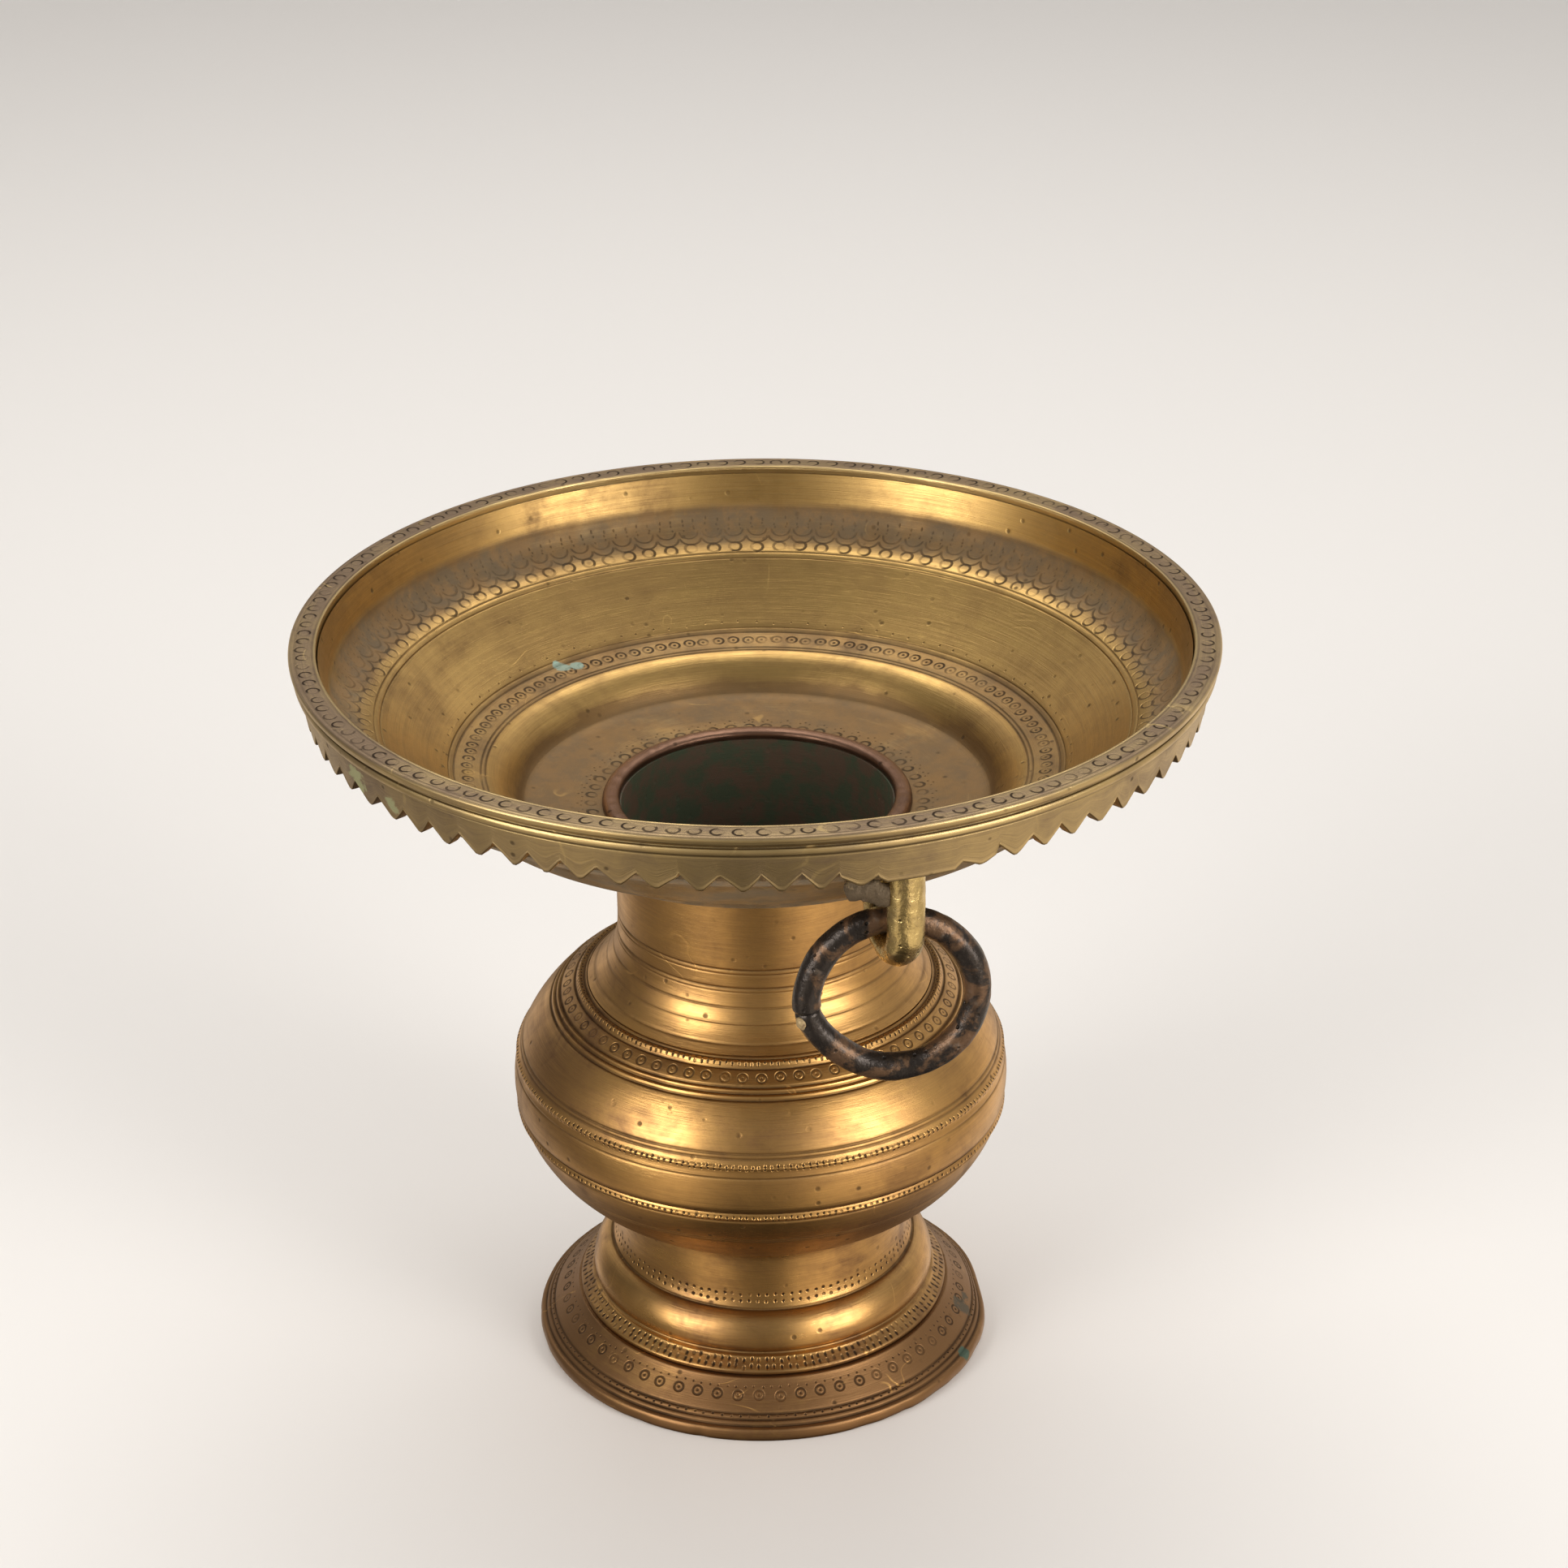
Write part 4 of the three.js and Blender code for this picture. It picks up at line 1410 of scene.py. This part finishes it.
def make_lug(looks):
    """The cast U that holds the ring, with both legs brazed under the dish."""
    low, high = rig.box("handle_lug")
    width, thickness = (high.x - low.x) / MM, 9.6
    outer_y = low.y / MM + thickness / 2
    inner_y = high.y / MM - thickness / 2
    middle_y, span = (outer_y + inner_y) / 2, (inner_y - outer_y) / 2
    bend_z = low.z / MM + thickness / 2 + span
    under = moved_out(dish_face(), 2.9)
    outer_top, inner_top = level_under(under, -outer_y), level_under(under, -inner_y)
    leg_steps, bend_steps = 26, 60
    path = []
    for t in np.linspace(0, 1, leg_steps, endpoint=False):
        path.append((0, outer_y, outer_top + (bend_z - outer_top) * t))
    for t in np.linspace(0, math.pi, bend_steps + 1):
        path.append((0, middle_y - span * math.cos(t), bend_z - span * math.sin(t)))
    for t in np.linspace(0, 1, leg_steps + 1)[1:]:
        path.append((0, inner_y, bend_z + (inner_top - bend_z) * t))
    around = even_angles(56)
    squareness, trim = 0.97, 0.15
    section = []
    for wave, size in ((np.cos(around), width), (np.sin(around), thickness)):
        half = np.sign(wave) * np.abs(wave) ** squareness * (size / 2 - trim)
        section.append(np.tile(half, (len(path), 1)))

    def reshape(spots):
        spots = rough_cast(0.4, 6.0, 3.0)(spots)
        for row in (0, -1):
            for spot in spots[row]:
                spot[2] = level_under(under, math.hypot(spot[0], spot[1]))
        return spots

    piece = swept_piece("ring_lug", path, [(1, 0, 0)] * len(path), section, False, reshape)
    material = worn_bar(
        "lug brass", looks.lug_brass, looks.rim_aged, looks.rim_clean, 9, 90.0, (0.5, 0.8),
        roughness=0.27,
    )
    set_in_place(piece, "vessel", "handle_lug", "lug_brass", material)
    make_braze(looks, outer_y, under, width)


def make_braze(looks, leg_y, under, width):
    """The rough braze beside the lug's outer leg, under the dish."""
    steps, around = 64, even_angles(22)
    start_x, end_x = -width / 2 - 13.0, -width / 2 + 2.2
    path, first, second = [], [], []
    for t in np.linspace(0, 1, steps):
        x = start_x + (end_x - start_x) * t
        y = leg_y + 1.6 - 1.2 * t
        level = level_under(under, math.hypot(x, y))
        path.append((x, y, level - 2.6 - 5.5 * t * t))
        blunt = min(1.0, 0.1 + 9 * t, 0.1 + 9 * (1 - t)) ** 0.5
        first.append(np.cos(around) * 1.8 * blunt)
        second.append(np.sin(around) * (3.2 + 0.9 * t) * blunt)
    section = (np.array(first), np.array(second))
    rough = rough_cast(0.95, 3.0, 8.0)
    piece = swept_piece("lug_braze", path, [(0, 1, 0)] * steps, section, False, rough)
    material = worn_bar(
        "braze metal", looks.braze, looks.rim_aged, looks.rim_clean, 10, 150.0, (0.55, 0.75),
        roughness=0.6, metallic=0.6, bumps=0.8,
    )
    set_in_place(piece, "vessel", None, "lug_brass", material)


def ring_measures():
    """The ring's middle, its radius, its wire, and the two directions it lies in."""
    low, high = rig.box("handle_ring")
    pivot, axis = Vector(SWING["pos_m"]) / MM, Vector(SWING["axis"]).normalized()
    height = (high.z - low.z) / MM
    wire = 2 * (high.z / MM - pivot.z)
    radius = (height - wire) / 2
    side = axis.cross(UP).normalized()
    return pivot - UP * radius, radius, wire, axis, side


def make_ring(looks):
    """The dark forged ring, closed by a butt joint."""
    centre, radius, wire, axis, side = ring_measures()
    joint_at = math.radians(looks.joint_bearing)
    around, bearings = even_angles(40), even_angles(320)
    path, halves = [], []
    for t, swell in zip(bearings, wander(bearings, 91, waves=9, lowest=2)):
        past = angle_past(t, joint_at)
        corner = 0.9 * hill(past, 0.32)
        flat = 0.8 * hill(past + 0.75, 0.38)
        arm = axis * math.sin(t) + UP * math.cos(t)
        path.append(centre + arm * (radius + corner - flat))
        notch = 0.55 * hill(past * radius, 0.45)
        step = 0.22 * (1 if past > 0 else -1) * hill(past * radius, 5)
        halves.append([wire / 2 - 0.12 + 0.16 * swell - notch + step])
    section = (np.array(halves) * np.cos(around), np.array(halves) * np.sin(around))
    rough = rough_cast(0.14, 5.0, 5.0)
    piece = swept_piece("ring", path, [side] * len(path), section, True, rough)
    material = worn_bar(
        "dark bronze", looks.ring_dark, looks.ring_brown, looks.ring_rub, 11, 95.0, (0.47, 0.58),
        metallic=0.7, bumps=0.45,
    )
    set_in_place(piece, "ring", "handle_ring", "ring_bronze", material)
    make_joint_lump(looks, centre, radius, wire, axis, side, joint_at)


def make_joint_lump(looks, centre, radius, wire, axis, side, joint_at):
    """The small lump of braze beside the ring's butt joint."""
    at = joint_at - 2.6 / radius
    arm = axis * math.sin(at) + UP * math.cos(at)
    outwards = (arm * 0.72 + side * 0.69).normalized()
    middle = centre + arm * (radius + 0.7) + outwards * (wire / 2 - 0.45)
    ahead = outwards.cross(side).normalized()
    third = outwards.cross(ahead)
    rows, columns, pole = 14, 22, 0.02
    spots = []
    for polar in np.linspace(pole, math.pi - pole, rows + 1):
        for turn in even_angles(columns):
            spot = (
                outwards * math.cos(polar) * 1.25
                + ahead * math.sin(polar) * math.cos(turn) * 2.3
                + third * math.sin(polar) * math.sin(turn) * 1.7
            )
            spots.append(middle + spot * (1 + 0.18 * noise.noise(spot * 1.3)))
    spots = np.array(spots, float)
    faces = outward(spots, grid_faces(rows + 1, columns)[: rows * columns])
    piece = mesh_object("ring_joint", spots, faces.tolist())
    material = worn_bar(
        "joint braze", looks.joint_tan, looks.ring_brown, looks.joint_tan, 12, 300.0, (0.45, 0.65),
        roughness=0.55, metallic=0.4, bumps=0.4,
    )
    set_in_place(piece, "ring", None, "ring_bronze", material)


# ---- The stage -----------------------------------------------------------------------------


def make_floor(studio, toward):
    """A pale paper floor that curves up behind the vessel."""
    rows = trace((-4.0, 0.0), (2.2, 0.0), ((3.4, 0.0), (3.4, 1.4)), (3.4, 4.0), pitch=0.5)
    points = []
    for depth, level in rows:
        for x in (-5.0, 5.0):
            across = x * math.cos(toward) + depth * math.sin(toward)
            points.append((across, depth * math.cos(toward) - x * math.sin(toward), level))
    faces = [(2 * i, 2 * i + 1, 2 * i + 3, 2 * i + 2) for i in range(len(rows) - 1)]
    mesh = bpy.data.meshes.new("floor")
    mesh.from_pydata(points, [], faces)
    mesh.shade_smooth()
    paper = bpy.data.materials.new("pale paper")
    paper.use_nodes = True
    shader = paper.node_tree.nodes["Principled BSDF"]
    shader.inputs["Base Color"].default_value = (*studio.floor_colour, 1)
    shader.inputs["Roughness"].default_value = 0.9
    mesh.materials.append(paper)
    floor = bpy.data.objects.new("floor", mesh)
    floor.visible_glossy = False
    bpy.context.scene.collection.objects.link(floor)
    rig.stage(floor)


def make_boxes(studio):
    """A soft box on each side of the camera, and one above and behind."""
    aim, distance = UP * 0.16, 1.9
    for name, turn, rise, width, height, power in (
        ("left box", -studio.box_turn, studio.box_rise, 0.8, 1.3, studio.left_power),
        ("right box", studio.box_turn, studio.box_rise, 0.7, 1.3, studio.right_power),
        ("top box", 180, 60, 1.6, 1.0, studio.top_power),
    ):
        lamp = bpy.data.lights.new(name, "AREA")
        lamp.shape, lamp.size, lamp.size_y = "RECTANGLE", width, height
        lamp.energy = power
        lamp.color = (1.0, 0.97, 0.93)
        bearing, up = math.radians(studio.camera_turn + turn), math.radians(rise)
        level = Vector((math.sin(bearing), -math.cos(bearing), 0)) * math.cos(up)
        away = level + UP * math.sin(up)
        holder = bpy.data.objects.new(name, lamp)
        holder.location = aim + away * distance
        holder.rotation_euler = away.to_track_quat("Z", "Y").to_euler()
        bpy.context.scene.collection.objects.link(holder)


def glow_lobe(direction, rises, gain, falls, loss):
    """A glow that rises towards one side, and falls again farther round."""
    return direction.ramp(*rises) * gain - direction.ramp(*falls) * loss


def make_air(studio, toward):
    """Soft light from all round: a glow low on each side, an even one above, darker below."""
    world = bpy.data.worlds.new("studio air")
    world.use_nodes = True
    w = Wiring(world.node_tree)
    direction = w.node("ShaderNodeTexCoord").outputs["Generated"]
    level = Amount(w, w.node("ShaderNodeSeparateXYZ", None, {"Vector": direction}).outputs["Z"])
    side = Vector((math.cos(toward), math.sin(toward), 0))
    to_side = w.node("ShaderNodeVectorMath", {"operation": "DOT_PRODUCT"}, {0: direction, 1: side})
    rightward = Amount(w, to_side.outputs["Value"])
    right_glow = glow_lobe(rightward, (0.22, 0.46), 2.1, (0.7, 0.95), 1.3)
    left_glow = glow_lobe(rightward * -1, (0.27, 0.5), 1.7, (0.58, 0.82), 1.7)
    overhead = level.ramp(0.45, 0.9)
    glow = (0.5 + right_glow + left_glow) * (1 - overhead) + overhead * 0.85
    light = w.mix(level.ramp(-0.92, -0.6), (*studio.under_air, 1), (*studio.low_air, 1))
    light = w.mix(level.ramp(-0.1, 0.3), light, (*studio.high_air, 1))
    air = world.node_tree.nodes["Background"]
    w.feed(air.inputs["Color"], light)
    w.feed(air.inputs["Strength"], glow)
    bpy.context.scene.world = world
    bpy.context.scene.view_settings.view_transform = "Standard"


def make_camera(studio):
    """The camera, at the view that the settings give."""
    lens = bpy.data.cameras.new("camera")
    lens.lens, lens.sensor_width = studio.lens, 36
    lens.clip_end = 30
    camera = bpy.data.objects.new("camera", lens)
    right = Vector(studio.camera_right).normalized()
    back = right.cross(Vector(studio.camera_up)).normalized()
    turn = Matrix((right, back.cross(right), back)).transposed().to_4x4()
    camera.matrix_world = Matrix.Translation(Vector(studio.camera_place)) @ turn
    bpy.context.scene.collection.objects.link(camera)
    bpy.context.scene.camera = camera


def make_stage(studio):
    """The floor, the soft boxes, the air and the camera."""
    toward = math.radians(studio.camera_turn)
    make_floor(studio, toward)
    make_boxes(studio)
    make_air(studio, toward)
    make_camera(studio)


# ---- Settings, operators and panel ---------------------------------------------------------


def colour(name, text, value):
    """A colour setting."""
    return bpy.props.FloatVectorProperty(
        name=name, description=text, default=value, size=3, min=0, max=1, subtype="COLOR"
    )


def number(name, text, value, low, high, unit="NONE"):
    """A number setting."""
    return bpy.props.FloatProperty(
        name=name, description=text, default=value, min=low, max=high, unit=unit
    )


def triple(name, text, value, **kind):
    """A place or a direction."""
    return bpy.props.FloatVectorProperty(
        name=name, description=text, default=value, size=3, **kind
    )


class VesselLooks(bpy.types.PropertyGroup):
    """Colours of the vessel's metals, and the sizes in millimetres that the frame leaves free."""

    teeth: bpy.props.IntProperty(
        name="Teeth", description="How many teeth the rim's skirt has", default=77, min=12, max=150
    )
    tooth_height: number("Tooth height", "How high the cuts between the teeth reach", 5.4, 1, 8)
    pot_wall: number("Pot's wall", "Thickness of both halves of the pot", 2.8, 1, 4)
    neck_wall: number("Neck's wall", "Thickness of the neck's tube", 2.3, 1, 4)
    dish_wall: number("Dish's wall", "Thickness of the dish", 2.6, 1, 4)
    pot_clean: colour("Pot, rubbed", "Brass of the pot where it is rubbed clean", (0.63, 0.36, 0.12))
    pot_aged: colour("Pot, aged", "Brass of the pot where it is tarnished", (0.25, 0.135, 0.058))
    # Besides patina, this dark colour paints the shade in grooves and recesses.
    pot_dark: colour("Recess dirt", "Dirt and tarnish in grooves and struck marks", (0.035, 0.022, 0.014))
    dish_clean: colour("Dish, rubbed", "Brass of the dish where it is rubbed clean", (0.56, 0.36, 0.125))
    dish_aged: colour("Dish, aged", "Brass of the dish where it is tarnished", (0.24, 0.145, 0.06))
    rim_clean: colour("Rim, rubbed", "Brass of the rim where it is rubbed clean", (0.6, 0.44, 0.2))
    rim_aged: colour("Rim, aged", "Brass of the rim where it is dull", (0.24, 0.17, 0.11))
    lug_brass: colour("Lug", "Cast brass of the lug", (0.62, 0.46, 0.19))
    copper_clean: colour("Lip, rubbed", "Copper of the mouth's lip where it is rubbed", (0.23, 0.13, 0.085))
    copper_aged: colour("Lip, aged", "Copper of the mouth's lip where it is dark", (0.12, 0.07, 0.048))
    ring_dark: colour("Ring, dark", "Oxide on the ring", (0.04, 0.032, 0.027))
    ring_brown: colour("Ring, brown", "Brown patches on the ring", (0.15, 0.086, 0.048))
    ring_rub: colour("Ring, rubbed", "Rubbed places on the ring", (0.22, 0.17, 0.13))
    braze: colour("Braze", "Dull metal where the lug was brazed on", (0.11, 0.078, 0.045))
    joint_tan: colour("Joint braze", "Lump beside the ring's joint", (0.36, 0.26, 0.13))
    bore_brown: colour("Inside, brown", "Brown crust inside the neck", (0.13, 0.085, 0.055))
    bore_green: colour("Inside, green", "Green crust inside the neck", (0.075, 0.095, 0.055))
    verdigris: colour("Verdigris", "Blue-green spot in the dish", (0.5, 0.66, 0.58))
    pale_green: colour("Pale green", "Green patch on the skirt", (0.44, 0.43, 0.25))
    blue_green: colour("Blue-green", "Spot on the standing plate", (0.12, 0.17, 0.13))
    grey_patina: colour("Grey patina", "Dull patch on the standing plate", (0.17, 0.14, 0.1))
    # This colour also paints a dark layer over the dish's underside as painted shade.
    dish_grime: colour("Dish grime", "Dust and grime on the dish's ledge and floor", (0.15, 0.108, 0.06))
    joint_bearing: number(
        "Joint bearing",
        "Where the ring's butt joint is, in degrees round it from the lug",
        -98.5, -180, 180,
    )


class VesselStudio(bpy.types.PropertyGroup):
    """The camera and the studio's light."""

    camera_place: triple(
        "Camera place", "Where the camera stands", (-0.35936, -1.05864, 0.75918),
        subtype="TRANSLATION", unit="LENGTH",
    )
    camera_right: triple(
        "Camera right", "The direction to the right of the view", (0.943, -0.3327, -0.00816),
        subtype="DIRECTION",
    )
    camera_up: triple(
        "Camera up", "The direction up the view", (0.15413, 0.41488, 0.89672),
        subtype="DIRECTION",
    )
    lens: number("Lens", "Focal length in millimetres", 86.83, 20, 300)
    camera_turn: number(
        "Camera turn", "Bearing of the camera in degrees, from the lug's side", -18.75, -180, 180
    )
    box_turn: number(
        "Box turn", "Angle of each soft box from the camera, in degrees", 50.0, 0, 180
    )
    box_rise: number("Box rise", "Height of the soft boxes, in degrees", 17.0, 0, 90)
    left_power: number("Left power", "Power of the left soft box", 24.0, 0, 1000, "POWER")
    right_power: number("Right power", "Power of the right soft box", 24.0, 0, 1000, "POWER")
    top_power: number("Top power", "Power of the top box", 18.0, 0, 1000, "POWER")
    under_air: colour("Under air", "Light from straight below", (0.07, 0.055, 0.045))
    low_air: colour("Low air", "Light from below the horizon", (0.42, 0.37, 0.31))
    high_air: colour("High air", "Light from above the horizon", (0.31, 0.3, 0.29))
    floor_colour: colour("Floor", "Colour of the floor", (0.86, 0.845, 0.83))


def piece_operator(label, text, *makers):
    """An operator class that makes one piece, or a group of like pieces."""
    key = label.lower().replace(" ", "_")

    def execute(self, context):
        for make in makers:
            make(context.scene.vessel_looks)
        return {"FINISHED"}

    parts = {"bl_idname": "vessel." + key, "bl_label": label, "__doc__": text, "execute": execute}
    return type("VESSEL_OT_" + key, (bpy.types.Operator,), parts)


OPERATORS = [
    piece_operator("Foot", "Makes the standing plate and the turned stem.", make_standing_plate, make_stem),
    piece_operator("Pot", "Makes the two halves of the pot.", make_lower_bowl, make_shoulder),
    piece_operator("Neck", "Makes the neck.", make_neck),
    piece_operator("Mouth lip", "Makes the copper lip round the mouth.", make_mouth_lip),
    piece_operator("Dish", "Makes the dish.", make_dish),
    piece_operator("Rim", "Makes the saw-toothed rim.", make_rim),
    piece_operator("Lug", "Makes the lug and its braze.", make_lug),
    piece_operator("Ring", "Makes the ring and its joint.", make_ring),
]


class VESSEL_OT_stage(bpy.types.Operator):
    """Makes the floor, the lights and the camera."""

    bl_idname = "vessel.stage"
    bl_label = "Stage"

    def execute(self, context):
        make_stage(context.scene.vessel_studio)
        return {"FINISHED"}


class VESSEL_PT_pieces(bpy.types.Panel):
    """Lists the vessel's pieces."""

    bl_idname = "VESSEL_PT_pieces"
    bl_label = "Footed brass vessel"
    bl_space_type = "VIEW_3D"
    bl_region_type = "UI"
    bl_category = "Vessel"

    def draw(self, context):
        for operator in [*OPERATORS, VESSEL_OT_stage]:
            self.layout.operator(operator.bl_idname)
        for group in (context.scene.vessel_looks, context.scene.vessel_studio):
            for label in group.__annotations__:
                self.layout.prop(group, label)


CLASSES = [VesselLooks, VesselStudio, *OPERATORS, VESSEL_OT_stage, VESSEL_PT_pieces]


def register():
    """Registers the classes and their settings."""
    for item in CLASSES:
        bpy.utils.register_class(item)
    bpy.types.Scene.vessel_looks = bpy.props.PointerProperty(type=VesselLooks)
    bpy.types.Scene.vessel_studio = bpy.props.PointerProperty(type=VesselStudio)


def unregister():
    """Takes the classes and their settings out again."""
    del bpy.types.Scene.vessel_looks
    del bpy.types.Scene.vessel_studio
    for item in reversed(CLASSES):
        bpy.utils.unregister_class(item)


def main():
    """Makes every piece and the stage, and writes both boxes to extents.json."""
    register()
    for operator in [*OPERATORS, VESSEL_OT_stage]:
        name = operator.bl_idname.partition(".")[2]
        getattr(bpy.ops.vessel, name)()
    boxes = {"cad": cad_box, "visual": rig.bounds()}
    plain = {name: [list(corner) for corner in box] for name, box in boxes.items()}
    with open("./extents.json", "w") as file:
        json.dump(plain, file, indent=1)


if __name__ == "__main__":
    main()
